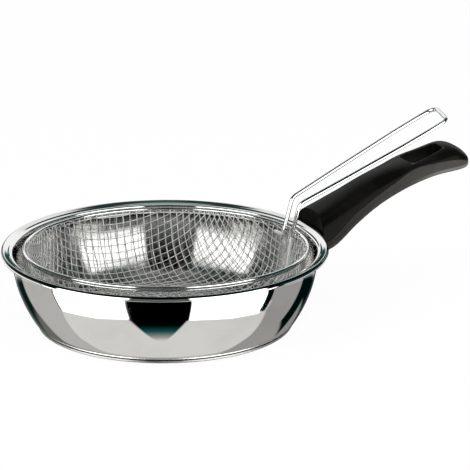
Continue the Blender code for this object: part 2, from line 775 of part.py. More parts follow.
def net_knots():
    """Return one quarter of the net's knots as a dictionary of (i, j) to (length, turn)."""
    total = sum(net_lengths()[:3])
    count = int(total / NET_PITCH) + 2
    knots = {(0, 0): (0.0, 0.0)}
    for index in range(1, count + 1):
        knots[(index, 0)] = (index * NET_PITCH, 0.0)
        knots[(0, index)] = (index * NET_PITCH, math.pi / 2)
    for i in range(1, count + 1):
        for j in range(1, count + 1):
            keys = ((i - 1, j), (i, j - 1), (i - 1, j - 1))
            if any(key not in knots for key in keys):
                continue
            if min(knots[key][0] for key in keys[:2]) > total + NET_PITCH:
                continue
            knots[(i, j)] = next_knot(*(knots[key] for key in keys))
    return knots, total


def build_net(material, parent):
    """Build the basket's net: square mesh draped over the bowl, cut at the rim."""
    knots, total = net_knots()
    bm = bmesh.new()
    points = {}
    for (i, j), (length, turn) in knots.items():
        if abs(length - total) < NET_PITCH * NET_SNAP_SHARE:
            length = total
        for east in (1, -1):
            for north in (1, -1):
                key = (i * east, j * north)
                if key in points:
                    continue
                spot = net_point((length, turn))
                points[key] = bm.verts.new((spot.x * east, spot.y * north, spot.z))
    for (i, j) in list(points):
        corners = ((i, j), (i + 1, j), (i + 1, j + 1), (i, j + 1))
        if all(corner in points for corner in corners):
            loop = [points[corner] for corner in corners]
            if any(vert.co.z < -SEAM_MERGE for vert in loop):
                bm.faces.new(loop)
    rim = (0.0, 0.0, 0.0)
    everything = list(bm.verts) + list(bm.edges) + list(bm.faces)
    bmesh.ops.bisect_plane(bm, geom=everything, dist=SEAM_MERGE, plane_co=rim,
                           plane_no=(0.0, 0.0, 1.0), clear_outer=True)
    loose = [vert for vert in bm.verts if not vert.link_faces]
    bmesh.ops.delete(bm, geom=loose, context="VERTS")
    mesh = finish_mesh("basket_net", bm)
    net = link("basket_net", mesh, material, parent)
    wires = net.modifiers.new("wires", "WIREFRAME")
    wires.thickness = NET_WIRE
    wires.offset = 0.0
    wires.use_boundary = True
    wires.use_replace = True
    wires.use_even_offset = True
    wires.use_relative_offset = False
    return net


# Basket handle

def loop_side(sign):
    """Return the loop's corners on one side, from the bend to the end."""
    foot = Vector((LEG_RADIUS_AT_RIM, 0.0, 0.0))
    along = Vector((math.cos(LOOP_SKEW), math.sin(LOOP_SKEW), 0.0))
    across = Vector((-math.sin(LOOP_SKEW), math.cos(LOOP_SKEW), 0.0))
    corners = []
    for share, width_share in LOOP_HALF_WIDTH_SHARES:
        half = LOOP_HALF_WIDTH * width_share
        if share == 0.0:
            half = LOOP_BEND_HALF_GAP
        out = LOOP_BEND_OUT + (LOOP_REACH - LOOP_BEND_OUT) * share
        out += LOOP_END_SLANT / 2 * share * sign
        up = LOOP_BEND_RISE + (LOOP_RISE - LOOP_BEND_RISE) * share
        up += half * sign * math.sin(LOOP_ROLL)
        spot = foot + along * out + across * (half * sign) + Vector((0.0, 0.0, up))
        radius = LOOP_BEND_RADIUS if share == 0.0 else ROD_POINT_SPACING * 10
        if share == 1.0:
            radius = LOOP_END_RADIUS
        corners.append((spot, radius))
    return corners


def leg_point(turn, height):
    """Return a point on the inside of the net wall, one rod radius clear of it."""
    clear = NET_WIRE / 2 + TOUCH_GAP + ROD_RADIUS
    radius = net_radius_at(height) - clear / math.cos(NET_WALL_ANGLE)
    return Vector((radius * math.cos(turn), radius * math.sin(turn), height))


def loop_corners():
    """Return the whole rod's corners, from the hook over the loop to the inner leg."""
    turn = math.asin(LOOP_FOOT_HALF_GAP / LEG_RADIUS_AT_RIM)
    hook_turn = turn + HOOK_ARC_LENGTH / LEG_RADIUS_AT_RIM
    corners = [
        (leg_point(hook_turn, -HOOK_DROP), 0.0),
        (leg_point(turn, -HOOK_DROP), HOOK_BEND_RADIUS),
        (leg_point(turn, 0.0), LEG_BEND_RADIUS),
    ]
    corners += loop_side(1)
    corners += list(reversed(loop_side(-1)))
    corners += [
        (leg_point(-turn, 0.0), LEG_BEND_RADIUS),
        (leg_point(-turn, -LEG_DEPTH), 0.0),
    ]
    return corners


def build_basket_handle(material, parent):
    """Build the basket's handle as one bent rod."""
    path = rounded_path(loop_corners(), ROD_POINT_SPACING)
    curve = bpy.data.curves.new("basket_handle", "CURVE")
    curve.dimensions = "3D"
    curve.bevel_depth = ROD_RADIUS
    curve.bevel_resolution = ROD_ROUNDING_STEPS
    curve.use_fill_caps = True
    spline = curve.splines.new("POLY")
    spline.points.add(len(path) - 1)
    for spot, point in zip(path, spline.points):
        point.co = (spot.x, spot.y, spot.z, 1.0)
    return link("basket_handle", curve, material, parent)


def main():
    """Build the pan, its handle and its basket."""
    clear_scene()
    polished = make_material("polished_steel", (0.80, 0.80, 0.79), 1.0, 0.06)
    satin = make_material("satin_steel", (0.62, 0.61, 0.59), 1.0, 0.28)
    aluminium = make_material("aluminium", (0.70, 0.70, 0.71), 1.0, 0.40)
    phenolic = make_material("black_phenolic", (0.012, 0.011, 0.010), 0.0, 0.32)
    zinc = make_material("zinc_plated_steel", (0.55, 0.56, 0.58), 1.0, 0.35)
    chrome = make_material("chrome_wire", (0.78, 0.79, 0.80), 1.0, 0.10)
    tinned = make_material("tinned_wire", (0.66, 0.66, 0.64), 1.0, 0.22)
    build_pan_body(polished)
    build_base_cap(satin)
    build_base_core(aluminium)
    build_bracket(satin)
    build_grip(phenolic)
    build_nut(zinc)
    build_screw(zinc)
    build_washer(zinc)
    basket = basket_origin()
    build_rim_wires(chrome, basket)
    build_net(tinned, basket)
    build_basket_handle(chrome, basket)


main()
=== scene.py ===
"""Frying pan with a lift-out wire basket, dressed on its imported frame.

Lengths are in metres in the frame's own axes: the pan stands on z = 0 with its axis on Z, and
its handle points along +X. The basket stands in the pan and leans a little.
"""
import logging
import math
from dataclasses import dataclass, field
from enum import Enum
from typing import Iterable, Sequence

import bmesh
import bpy
from mathutils import Matrix, Vector


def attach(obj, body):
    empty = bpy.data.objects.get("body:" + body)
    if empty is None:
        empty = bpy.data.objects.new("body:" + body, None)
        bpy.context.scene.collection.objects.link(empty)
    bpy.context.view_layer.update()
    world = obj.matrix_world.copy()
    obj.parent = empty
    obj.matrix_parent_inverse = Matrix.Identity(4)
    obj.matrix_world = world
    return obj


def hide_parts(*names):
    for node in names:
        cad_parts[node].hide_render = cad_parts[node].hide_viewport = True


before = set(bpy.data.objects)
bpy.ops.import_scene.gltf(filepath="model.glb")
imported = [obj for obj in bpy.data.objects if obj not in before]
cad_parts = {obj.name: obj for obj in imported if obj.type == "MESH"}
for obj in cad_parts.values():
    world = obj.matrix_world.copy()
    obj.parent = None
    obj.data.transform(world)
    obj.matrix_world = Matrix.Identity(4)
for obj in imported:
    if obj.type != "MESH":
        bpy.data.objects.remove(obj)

LOG = logging.getLogger("frying_pan")
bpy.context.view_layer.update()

Colour = tuple[float, float, float]
RingPoint = tuple[float, float]


class Body(Enum):
    """The rigid bodies that pieces ride on."""

    PAN = "pan"
    BASKET = "basket"


class Slot(Enum):
    """The record's material slots."""

    POLISHED_STEEL = "polished_steel"
    SATIN_STEEL = "satin_steel"
    ALUMINIUM = "aluminium"
    PHENOLIC = "black_phenolic"
    ZINC = "zinc_plated_steel"
    CHROME_WIRE = "chrome_wire"
    TINNED_WIRE = "tinned_wire"


# Workshop: operators shared by every sub-assembly

def deselect_all() -> None:
    """Leave nothing selected and no edit mode open."""
    if bpy.context.object and bpy.context.object.mode != "OBJECT":
        bpy.ops.object.mode_set(mode="OBJECT")
    bpy.ops.object.select_all(action="DESELECT")


def pick(piece: bpy.types.Object) -> None:
    """Select one piece alone and make it active."""
    deselect_all()
    piece.select_set(True)
    bpy.context.view_layer.objects.active = piece


def name_piece(name: str) -> bpy.types.Object:
    """Give the active object and its data a name, and return it."""
    piece = bpy.context.object
    piece.name = name
    piece.data.name = name
    return piece


def settle(piece: bpy.types.Object, place: Matrix | None = None) -> None:
    """Put a piece's place into its mesh, so that its object sits at the origin.

    Args:
        piece: the piece.
        place: a matrix to move it by first.
    """
    pick(piece)
    if place is not None:
        piece.matrix_world = place @ piece.matrix_world
    bpy.ops.object.transform_apply(location=True, rotation=True, scale=True)


def finish_modifier(piece: bpy.types.Object, modifier: bpy.types.Modifier) -> None:
    """Apply one modifier of a piece."""
    pick(piece)
    bpy.ops.object.modifier_apply(modifier=modifier.name)


def subdivide(piece: bpy.types.Object, levels: int) -> None:
    """Round a piece with applied subdivision."""
    modifier = piece.modifiers.new("round", "SUBSURF")
    modifier.levels = levels
    modifier.render_levels = levels
    finish_modifier(piece, modifier)


def bevel(piece: bpy.types.Object, width: float, segments: int, angle: float = 40.0) -> None:
    """Round the sharp edges of a piece.

    Args:
        piece: the piece.
        width: width of the rounding.
        segments: faces across it.
        angle: the least angle that counts as sharp, in degrees.
    """
    modifier = piece.modifiers.new("bevel", "BEVEL")
    modifier.width = width
    modifier.segments = segments
    modifier.limit_method = "ANGLE"
    modifier.angle_limit = math.radians(angle)
    finish_modifier(piece, modifier)


def carve(piece: bpy.types.Object, tool: bpy.types.Object, union: bool = False) -> None:
    """Cut a tool out of a piece, or add it, and remove the tool.

    Args:
        piece: the piece.
        tool: the cutter or the addition.
        union: add the tool instead of cutting it out.
    """
    modifier = piece.modifiers.new("carve", "BOOLEAN")
    modifier.operation = "UNION" if union else "DIFFERENCE"
    modifier.solver = "EXACT"
    modifier.object = tool
    finish_modifier(piece, modifier)
    bpy.data.objects.remove(tool, do_unlink=True)


def shade(piece: bpy.types.Object, angle: float = 35.0) -> None:
    """Shade a piece smooth, with edges sharper than an angle in degrees kept."""
    pick(piece)
    bpy.ops.object.shade_smooth_by_angle(angle=math.radians(angle))


def outward(piece: bpy.types.Object) -> None:
    """Merge a closed piece's doubles and turn its faces outwards."""
    pick(piece)
    bpy.ops.object.mode_set(mode="EDIT")
    bpy.ops.mesh.select_all(action="SELECT")
    bpy.ops.mesh.remove_doubles(threshold=0.000002)
    bpy.ops.mesh.normals_make_consistent(inside=False)
    bpy.ops.object.mode_set(mode="OBJECT")


def turned(name: str, profile: Sequence[RingPoint], steps: int,
           closed: bool = False) -> bpy.types.Object:
    """Raise a turned piece ring by ring, as on a lathe.

    Args:
        name: name of the piece.
        profile: (radius, height) of each ring in order.
        steps: vertices in each ring.
        closed: join the last ring to the first, for a ring-shaped piece.

    Returns:
        The piece, with its ends capped where it isn't ring-shaped.
    """
    deselect_all()
    radius, height = profile[0]
    bpy.ops.mesh.primitive_circle_add(
        vertices=steps, radius=radius, location=(0.0, 0.0, height),
        fill_type="NOTHING" if closed else "NGON",
    )
    piece = name_piece(name)
    bpy.ops.object.transform_apply(location=True)
    bpy.ops.object.mode_set(mode="EDIT")
    bpy.ops.mesh.select_mode(type="EDGE")
    bpy.ops.mesh.select_all(action="SELECT")
    for (before, low), (after, high) in zip(profile, profile[1:]):
        bpy.ops.mesh.extrude_region_move(
            TRANSFORM_OT_translate={"value": (0.0, 0.0, high - low)})
        share = after / before
        bpy.ops.transform.resize(value=(share, share, 1.0), center_override=(0.0, 0.0, high))
    if closed:
        bpy.ops.mesh.select_all(action="DESELECT")
        bpy.ops.mesh.select_non_manifold()
        bpy.ops.mesh.bridge_edge_loops()
    bpy.ops.mesh.select_all(action="SELECT")
    bpy.ops.mesh.normals_make_consistent(inside=False)
    bpy.ops.object.mode_set(mode="OBJECT")
    return piece


def lofted(name: str, sections: Sequence[Sequence[Vector]]) -> bpy.types.Object:
    """Bridge a row of closed sections into one solid with capped ends.

    Args:
        name: name of the piece.
        sections: points of each section, all of one length.

    Returns:
        The piece.
    """
    deselect_all()
    bpy.ops.mesh.primitive_circle_add(vertices=len(sections[0]), radius=sections[0][0].length)
    piece = name_piece(name)
    shape = bmesh.new()
    for section in sections:
        ring = [shape.verts.new(point) for point in section]
        for here, ahead in zip(ring, ring[1:] + ring[:1]):
            shape.edges.new((here, ahead))
    shape.to_mesh(piece.data)
    shape.free()
    bpy.ops.object.mode_set(mode="EDIT")
    bpy.ops.mesh.select_mode(type="EDGE")
    bpy.ops.mesh.select_all(action="SELECT")
    bpy.ops.mesh.bridge_edge_loops()
    bpy.ops.mesh.select_all(action="DESELECT")
    bpy.ops.mesh.select_non_manifold()
    bpy.ops.mesh.fill_holes(sides=0)
    bpy.ops.mesh.select_all(action="SELECT")
    bpy.ops.mesh.normals_make_consistent(inside=False)
    bpy.ops.object.mode_set(mode="OBJECT")
    return piece


def round_bends(corners: Sequence[tuple[Vector, float]], spacing: float) -> list[Vector]:
    """Join straight runs by round bends.

    Args:
        corners: (point, bend radius); the radii of the two ends are not used.
        spacing: distance between points on a straight run.

    Returns:
        The points of the route.
    """
    route = [corners[0][0].copy()]
    for before, here, after in zip(corners, corners[1:], corners[2:]):
        point, radius = here
        back = (before[0] - point).normalized()
        ahead = (after[0] - point).normalized()
        angle = back.angle(ahead)
        reach = min(radius / math.tan(angle / 2), (before[0] - point).length / 2,
                    (after[0] - point).length / 2)
        radius = reach * math.tan(angle / 2)
        centre = point + (back + ahead).normalized() * (radius / math.sin(angle / 2))
        start = point + back * reach - centre
        axis = start.cross(point + ahead * reach - centre).normalized()
        sweep = math.pi - angle
        turns = max(2, math.ceil(sweep / math.radians(9.0)))
        for step in range(turns + 1):
            arm = start.copy()
            arm.rotate(Matrix.Rotation(sweep * step / turns, 3, axis))
            route.append(centre + arm)
    route.append(corners[-1][0].copy())
    dense = [route[0]]
    for nearer, further in zip(route, route[1:]):
        pieces = max(1, round((further - nearer).length / spacing))
        dense += [nearer.lerp(further, step / pieces) for step in range(1, pieces + 1)]
    return dense


def wire_mesh(name: str, routes: Iterable[Sequence[Vector]], radius: float, sides_level: int,
              place: Matrix) -> bpy.types.Object:
    """Draw round wire along routes and make it one mesh.

    Args:
        name: name of the piece.
        routes: points of each wire.
        radius: wire radius.
        sides_level: bevel resolution of the wire.
        place: where the routes' own frame stands.

    Returns:
        The piece.
    """
    deselect_all()
    curve = bpy.data.curves.new(name, "CURVE")
    curve.dimensions = "3D"
    curve.bevel_depth = radius
    curve.bevel_resolution = sides_level
    curve.use_fill_caps = True
    for route in routes:
        spline = curve.splines.new("POLY")
        spline.points.add(len(route) - 1)
        for spot, point in zip(route, spline.points):
            point.co = (*(place @ spot), 1.0)
    piece = bpy.data.objects.new(name, curve)
    bpy.context.scene.collection.objects.link(piece)
    pick(piece)
    bpy.ops.object.convert(target="MESH")
    piece = name_piece(name)
    outward(piece)
    bpy.ops.object.shade_smooth()
    return piece


# Finishes

class NodeBench:
    """Places and joins nodes in one node tree."""

    def __init__(self, tree: bpy.types.NodeTree) -> None:
        """Take the tree to work in."""
        self.tree = tree

    def add(self, kind: str, inputs: dict | None = None, **settings: object) -> bpy.types.Node:
        """Add a node.

        Args:
            kind: the node's type.
            inputs: values or output sockets by input name or number.
            settings: properties of the node.

        Returns:
            The node.
        """
        node = self.tree.nodes.new(kind)
        for key, value in settings.items():
            setattr(node, key, value)
        for key, value in (inputs or {}).items():
            if isinstance(value, bpy.types.NodeSocket):
                self.tree.links.new(value, node.inputs[key])
            else:
                node.inputs[key].default_value = value
        return node

    def math(self, operation: str, first: object, second: object = 0.0,
             clamp: bool = False) -> bpy.types.NodeSocket:
        """Add a Math node and return its output."""
        node = self.add("ShaderNodeMath", {0: first, 1: second}, operation=operation,
                        use_clamp=clamp)
        return node.outputs[0]

    def ease(self, value: object, low: float, high: float, start: float = 0.0,
             stop: float = 1.0) -> bpy.types.NodeSocket:
        """Map a value smoothly from one range to another."""
        node = self.add("ShaderNodeMapRange", {0: value, 1: low, 2: high, 3: start, 4: stop},
                        interpolation_type="SMOOTHSTEP")
        return node.outputs[0]

    def blend(self, share: object, under: object, over: object) -> bpy.types.NodeSocket:
        """Lay one colour over another by a share."""
        node = self.add("ShaderNodeMix", {0: share}, data_type="RGBA")
        for socket, value in ((node.inputs[6], under), (node.inputs[7], over)):
            if isinstance(value, bpy.types.NodeSocket):
                self.tree.links.new(value, socket)
            else:
                socket.default_value = (*value, 1.0)
        return node.outputs[2]


def new_group(name: str, inputs: dict[str, tuple[str, float]],
              outputs: dict[str, str]) -> tuple[bpy.types.NodeTree, NodeBench,
                                                bpy.types.Node, bpy.types.Node]:
    """Start a shader node group.

    Args:
        name: name of the group.
        inputs: socket type and default by name.
        outputs: socket type by name.

    Returns:
        The group, its bench, its input node and its output node.
    """
    group = bpy.data.node_groups.new(name, "ShaderNodeTree")
    for label, (kind, default) in inputs.items():
        socket = group.interface.new_socket(name=label, in_out="INPUT", socket_type=kind)
        if kind == "NodeSocketFloat":
            socket.default_value = default
    for label, kind in outputs.items():
        group.interface.new_socket(name=label, in_out="OUTPUT", socket_type=kind)
    bench = NodeBench(group)
    return group, bench, bench.add("NodeGroupInput"), bench.add("NodeGroupOutput")


class EffectLibrary:
    """Node groups that several finishes share, each built once."""

    def __init__(self) -> None:
        """Build every group."""
        self.turned_lines = self._turned_lines()
        self.handling = self._handling()

    def _turned_lines(self) -> bpy.types.NodeTree:
        """Build fine polishing rings, as a height and a mask."""
        group, bench, given, result = new_group(
            "turned_lines",
            {"Vector": ("NodeSocketVector", 0.0), "Lines": ("NodeSocketFloat", 900.0),
             "Patches": ("NodeSocketFloat", 18.0)},
            {"Height": "NodeSocketFloat", "Mask": "NodeSocketFloat"},
        )
        split = bench.add("ShaderNodeSeparateXYZ", {0: given.outputs["Vector"]})
        across = bench.math("POWER", split.outputs[0], 2.0)
        along = bench.math("POWER", split.outputs[1], 2.0)
        radius = bench.math("SQRT", bench.math("ADD", across, along))
        turn = bench.math("MULTIPLY", bench.math("ARCTAN2", split.outputs[1], split.outputs[0]),
                          0.004)
        ring = bench.add("ShaderNodeCombineXYZ", {0: radius, 1: turn, 2: split.outputs[2]})
        lines = bench.add("ShaderNodeTexNoise",
                          {"Vector": ring.outputs[0], "Scale": given.outputs["Lines"],
                           "Detail": 3.0, "Roughness": 0.6})
        patches = bench.add("ShaderNodeTexNoise",
                            {"Vector": given.outputs["Vector"],
                             "Scale": given.outputs["Patches"], "Detail": 4.0})
        worn = bench.ease(patches.outputs[0], 0.35, 0.70)
        ring_height = bench.math("MULTIPLY", lines.outputs[0], bench.math("ADD", worn, 0.35))
        bench.tree.links.new(ring_height, result.inputs["Height"])
        mask = bench.math("MULTIPLY", worn, lines.outputs[0], clamp=True)
        bench.tree.links.new(mask, result.inputs["Mask"])
        return group

    def _handling(self) -> bpy.types.NodeTree:
        """Build the masks of soft smears and of specks left by handling."""
        group, bench, given, result = new_group(
            "handling",
            {"Vector": ("NodeSocketVector", 0.0), "Smear Size": ("NodeSocketFloat", 25.0),
             "Speck Size": ("NodeSocketFloat", 700.0)},
            {"Smears": "NodeSocketFloat", "Specks": "NodeSocketFloat"},
        )
        smear = bench.add("ShaderNodeTexNoise",
                          {"Vector": given.outputs["Vector"],
                           "Scale": given.outputs["Smear Size"], "Detail": 5.0,
                           "Distortion": 0.6})
        speck = bench.add("ShaderNodeTexNoise",
                          {"Vector": given.outputs["Vector"],
                           "Scale": given.outputs["Speck Size"], "Detail": 2.0})
        bench.tree.links.new(bench.ease(smear.outputs[0], 0.42, 0.72), result.inputs["Smears"])
        bench.tree.links.new(bench.ease(speck.outputs[0], 0.58, 0.74), result.inputs["Specks"])
        return group


class MaterialBench(NodeBench):
    """A new material with its shader, object coordinates and wear groups at hand."""

    def __init__(self, name: str, slot: Slot) -> None:
        """Start the material.

        Args:
            name: name of the material.
            slot: the record's slot that it dresses.
        """
        self.material = bpy.data.materials.new(name)
        self.material.use_nodes = True
        self.slot = slot
        super().__init__(self.material.node_tree)
        self.shader = self.tree.nodes["Principled BSDF"]
        self.place = self.add("ShaderNodeTexCoord").outputs["Object"]

    def group(self, tree: bpy.types.NodeTree, **values: float) -> bpy.types.Node:
        """Place a shared group, fed with object coordinates.

        Args:
            tree: the group.
            values: its other inputs; underscores stand for spaces.

        Returns:
            The group's node.
        """
        node = self.add("ShaderNodeGroup", node_tree=tree)
        self.tree.links.new(self.place, node.inputs["Vector"])
        for label, value in values.items():
            node.inputs[label.replace("_", " ")].default_value = value
        return node

    def axes(self) -> bpy.types.NodeOutputs:
        """Split the place into its three coordinates."""
        return self.add("ShaderNodeSeparateXYZ", {0: self.place}).outputs

    def off_axis(self, place: bpy.types.NodeOutputs, radius: float,
                 soft: float) -> bpy.types.NodeSocket:
        """Return a mask of what lies further than a radius from the pan's axis."""
        square = self.math("ADD", self.math("MULTIPLY", place[0], place[0]),
                           self.math("MULTIPLY", place[1], place[1]))
        return self.ease(square, radius ** 2, (radius + soft) ** 2)

    def metal(self, roughness: float) -> None:
        """Set the shader's plain metal values."""
        self.shader.inputs["Metallic"].default_value = 1.0
        self.shader.inputs["Roughness"].default_value = roughness

    def wire(self, source: bpy.types.NodeSocket, target: str) -> None:
        """Join an output to one of the shader's inputs."""
        self.tree.links.new(source, self.shader.inputs[target])

    def bump(self, height: bpy.types.NodeSocket, strength: float, distance: float) -> None:
        """Feed the shader's normal with a bump."""
        node = self.add("ShaderNodeBump", {"Height": height, "Strength": strength,
                                           "Distance": distance})
        self.wire(node.outputs[0], "Normal")

    def dress(self, piece: bpy.types.Object) -> None:
        """Give the material to a piece, in place of what it has."""
        piece.data.materials.clear()
        piece.data.materials.append(self.material)


@dataclass(frozen=True)
class MirrorSteel:
    """Mirror-polished stainless steel with faint polishing rings and painted shade on the lip's
    shoulder.

    The painted shade's values are its least radius, its least height and the softness of its edge.
    """

    colour: Colour = (0.875, 0.872, 0.862)
    worn_colour: Colour = (0.80, 0.80, 0.79)
    roughness: tuple[float, float] = (0.015, 0.07)
    line_depth: float = 0.000004
    ripple_depth: float = 0.00003
    # Painted shade on the lip's shoulder: its colour, then its least radius, least height and edge
    # softness.
    shoulder_shade_colour: Colour = (0.045, 0.065, 0.062)
    shoulder_shade: tuple[float, float, float] = (0.1317, 0.0628, 0.0003)

    def make(self, effects: EffectLibrary) -> MaterialBench:
        """Build the material and return its bench."""
        bench = MaterialBench("mirror_steel", Slot.POLISHED_STEEL)
        bench.metal(self.roughness[0])
        rings = bench.group(effects.turned_lines, Lines=1400.0, Patches=16.0)
        marks = bench.group(effects.handling, Smear_Size=22.0, Speck_Size=900.0)
        place = bench.axes()
        radius, height, soft = self.shoulder_shade
        # Painted shade: a dark band on the lip's shoulder, outside a radius and above a height.
        painted_rim = bench.math("MULTIPLY", bench.off_axis(place, radius, soft),
                         bench.ease(place[2], height, height + soft))
        steel = bench.blend(marks.outputs["Smears"], self.colour, self.worn_colour)
        bench.wire(bench.blend(painted_rim, steel, self.shoulder_shade_colour), "Base Color")
        bench.wire(bench.ease(bench.math("ADD", rings.outputs["Mask"],
                                         bench.math("MULTIPLY", marks.outputs["Smears"], 0.35)),
                              0.0, 1.0, *self.roughness), "Roughness")
        swell = bench.add("ShaderNodeTexNoise", {"Vector": bench.place, "Scale": 9.0,
                                                 "Detail": 1.0})
        height = bench.math("ADD", bench.math("MULTIPLY", rings.outputs["Height"],
                                              self.line_depth / self.ripple_depth),
                            swell.outputs[0])
        bench.bump(height, 0.35, self.ripple_depth)
        return bench


@dataclass(frozen=True)
class BrushedInside:
    """Steel brushed round and round, which smears reflections up and down.

    Its neck, between two heights, darkens towards the mouth with painted shade.
    """

    colour: Colour = (0.66, 0.655, 0.64)
    worn_colour: Colour = (0.61, 0.605, 0.59)
    neck_shade_colour: Colour = (0.035, 0.042, 0.040)
    roughness: tuple[float, float] = (0.04, 0.15)
    brushed_from: tuple[float, float] = (0.0540, 0.0380)
    neck_shade: tuple[float, float] = (0.0495, 0.0560)
    streak: float = 1.0
    line_depth: float = 0.000005

    def make(self, effects: EffectLibrary) -> MaterialBench:
        """Build the material and return its bench."""
        bench = MaterialBench("brushed_inside", Slot.POLISHED_STEEL)
        bench.metal(self.roughness[0])
        bench.shader.inputs["Anisotropic"].default_value = self.streak
        bench.shader.inputs["Anisotropic Rotation"].default_value = 0.25
        around = bench.add("ShaderNodeTangent", direction_type="RADIAL", axis="Z")
        bench.wire(around.outputs[0], "Tangent")
        rings = bench.group(effects.turned_lines, Lines=1700.0, Patches=26.0)
        marks = bench.group(effects.handling, Smear_Size=18.0, Speck_Size=900.0)
        height = bench.axes()[2]
        steel = bench.blend(rings.outputs["Mask"], self.colour, self.worn_colour)
        # Painted shade: the neck darkens towards the mouth.
        bench.wire(bench.blend(bench.ease(height, *self.neck_shade), steel,
                               self.neck_shade_colour), "Base Color")
        depth = bench.ease(height, self.brushed_from[1], self.brushed_from[0],
                           self.roughness[1], self.roughness[0])
        smeared = bench.math("ADD", depth, bench.math("MULTIPLY", marks.outputs["Smears"], 0.03))
        bench.wire(smeared, "Roughness")
        bench.bump(rings.outputs["Height"], 0.12, self.line_depth)
        return bench


@dataclass(frozen=True)
class SatinSteel:
    """Turned satin stainless steel; low on the base's side, a painted dark reflection band with
    paler painted shade below it.
    """

    name: str = "satin_steel"
    colour: Colour = (0.74, 0.735, 0.72)
    worn_colour: Colour = (0.60, 0.595, 0.58)
    roughness: tuple[float, float] = (0.34, 0.42)
    line_depth: float = 0.00002
    # Painted shade, painted dark reflection, their heights and softness, and the radius beyond
    # which they lie.
    low_shade_colour: Colour = (0.40, 0.395, 0.385)
    dark_reflection_colour: Colour = (0.02, 0.02, 0.02)
    painted_heights: tuple[float, float] = (0.0022, 0.0034)
    painted_height_soft: float = 0.0003
    painted_radius: float = 0.1012
    painted_radius_soft: float = 0.0004

    def make(self, effects: EffectLibrary) -> MaterialBench:
        """Build the material and return its bench."""
        bench = MaterialBench(self.name, Slot.SATIN_STEEL)
        bench.metal(self.roughness[0])
        rings = bench.group(effects.turned_lines, Lines=2200.0, Patches=30.0)
        marks = bench.group(effects.handling, Smear_Size=30.0, Speck_Size=800.0)
        place = bench.axes()
        # Painted reflection and shade on the base's side: a dark band, and a grey band under it.
        low, high = self.painted_heights
        outside = bench.off_axis(place, self.painted_radius - self.painted_radius_soft, self.painted_radius_soft)
        below = bench.math("MULTIPLY", outside,
                           bench.ease(place[2], high - self.painted_height_soft, high, 1.0, 0.0))
        edge = bench.math("MULTIPLY", below,
                          bench.ease(place[2], low - self.painted_height_soft, low, 1.0, 0.0))
        steel = bench.blend(rings.outputs["Mask"], self.colour, self.worn_colour)
        # Painted reflection: the dark band.
        steel = bench.blend(below, steel, self.dark_reflection_colour)
        # Painted shade: the grey band below the dark one.
        bench.wire(bench.blend(edge, steel, self.low_shade_colour), "Base Color")
        bench.wire(bench.ease(marks.outputs["Smears"], 0.0, 1.0, *self.roughness), "Roughness")
        bench.bump(rings.outputs["Height"], 0.15, self.line_depth)
        return bench


@dataclass(frozen=True)
class PressedAluminium:
    """Matt aluminium blank with a faint pressed grain."""

    colour: Colour = (0.72, 0.72, 0.73)
    dull_colour: Colour = (0.58, 0.58, 0.59)

    def make(self, effects: EffectLibrary) -> MaterialBench:
        """Build the material and return its bench."""
        bench = MaterialBench("pressed_aluminium", Slot.ALUMINIUM)
        bench.metal(0.42)
        marks = bench.group(effects.handling, Smear_Size=60.0, Speck_Size=1500.0)
        bench.wire(bench.blend(marks.outputs["Smears"], self.colour, self.dull_colour),
                   "Base Color")
        bench.wire(bench.ease(marks.outputs["Specks"], 0.0, 1.0, 0.36, 0.5), "Roughness")
        bench.bump(marks.outputs["Specks"], 0.3, 0.00002)
        return bench


@dataclass(frozen=True)
class BlackPhenolic:
    """Black phenolic: a smooth crown, and a matt band with painted sheen, with painted highlight on
    the flange below it.

    The piece's attribute "band" tells how matt a place is and how much painted sheen it has, and
    "flange" how much painted highlight.
    """

    colour: Colour = (0.0030, 0.0028, 0.0025)
    bloom: Colour = (0.0060, 0.0057, 0.0048)
    # Painted sheen on the band and painted highlight on the flange.
    band_sheen_colour: Colour = (0.070, 0.067, 0.061)
    flange_highlight_colour: Colour = (0.19, 0.185, 0.176)
    roughness: tuple[float, float, float] = (0.30, 0.38, 0.60)
    gloss: float = 0.05
    grain_depth: float = 0.000010

    def make(self, effects: EffectLibrary) -> MaterialBench:
        """Build the material and return its bench."""
        bench = MaterialBench("black_phenolic_moulding", Slot.PHENOLIC)
        bench.shader.inputs["IOR"].default_value = 1.52
        bench.shader.inputs["Specular IOR Level"].default_value = self.gloss
        marks = bench.group(effects.handling, Smear_Size=38.0, Speck_Size=1600.0)
        grain = bench.add("ShaderNodeTexNoise", {"Vector": bench.place, "Scale": 1300.0,
                                                 "Detail": 3.0})
        band = bench.add("ShaderNodeAttribute", attribute_name="band").outputs["Fac"]
        flange = bench.add("ShaderNodeAttribute", attribute_name="flange").outputs["Fac"]
        base = bench.blend(marks.outputs["Smears"], self.colour, self.bloom)
        mottled = bench.math("MULTIPLY", band, bench.ease(marks.outputs["Smears"], 0.0, 1.0,
                                                          1.0, 0.86))
        # Painted sheen: the band made a lighter grey.
        base = bench.blend(mottled, base, self.band_sheen_colour)
        # Painted highlight: the flange and the slot's rim made paler.
        bench.wire(bench.blend(flange, base, self.flange_highlight_colour), "Base Color")
        smooth = bench.ease(marks.outputs["Smears"], 0.0, 1.0, *self.roughness[:2])
        rough = bench.add("ShaderNodeMix", {0: band, 2: smooth, 3: self.roughness[2]})
        bench.wire(rough.outputs[0], "Roughness")
        bench.bump(grain.outputs[0], 0.25, self.grain_depth)
        return bench


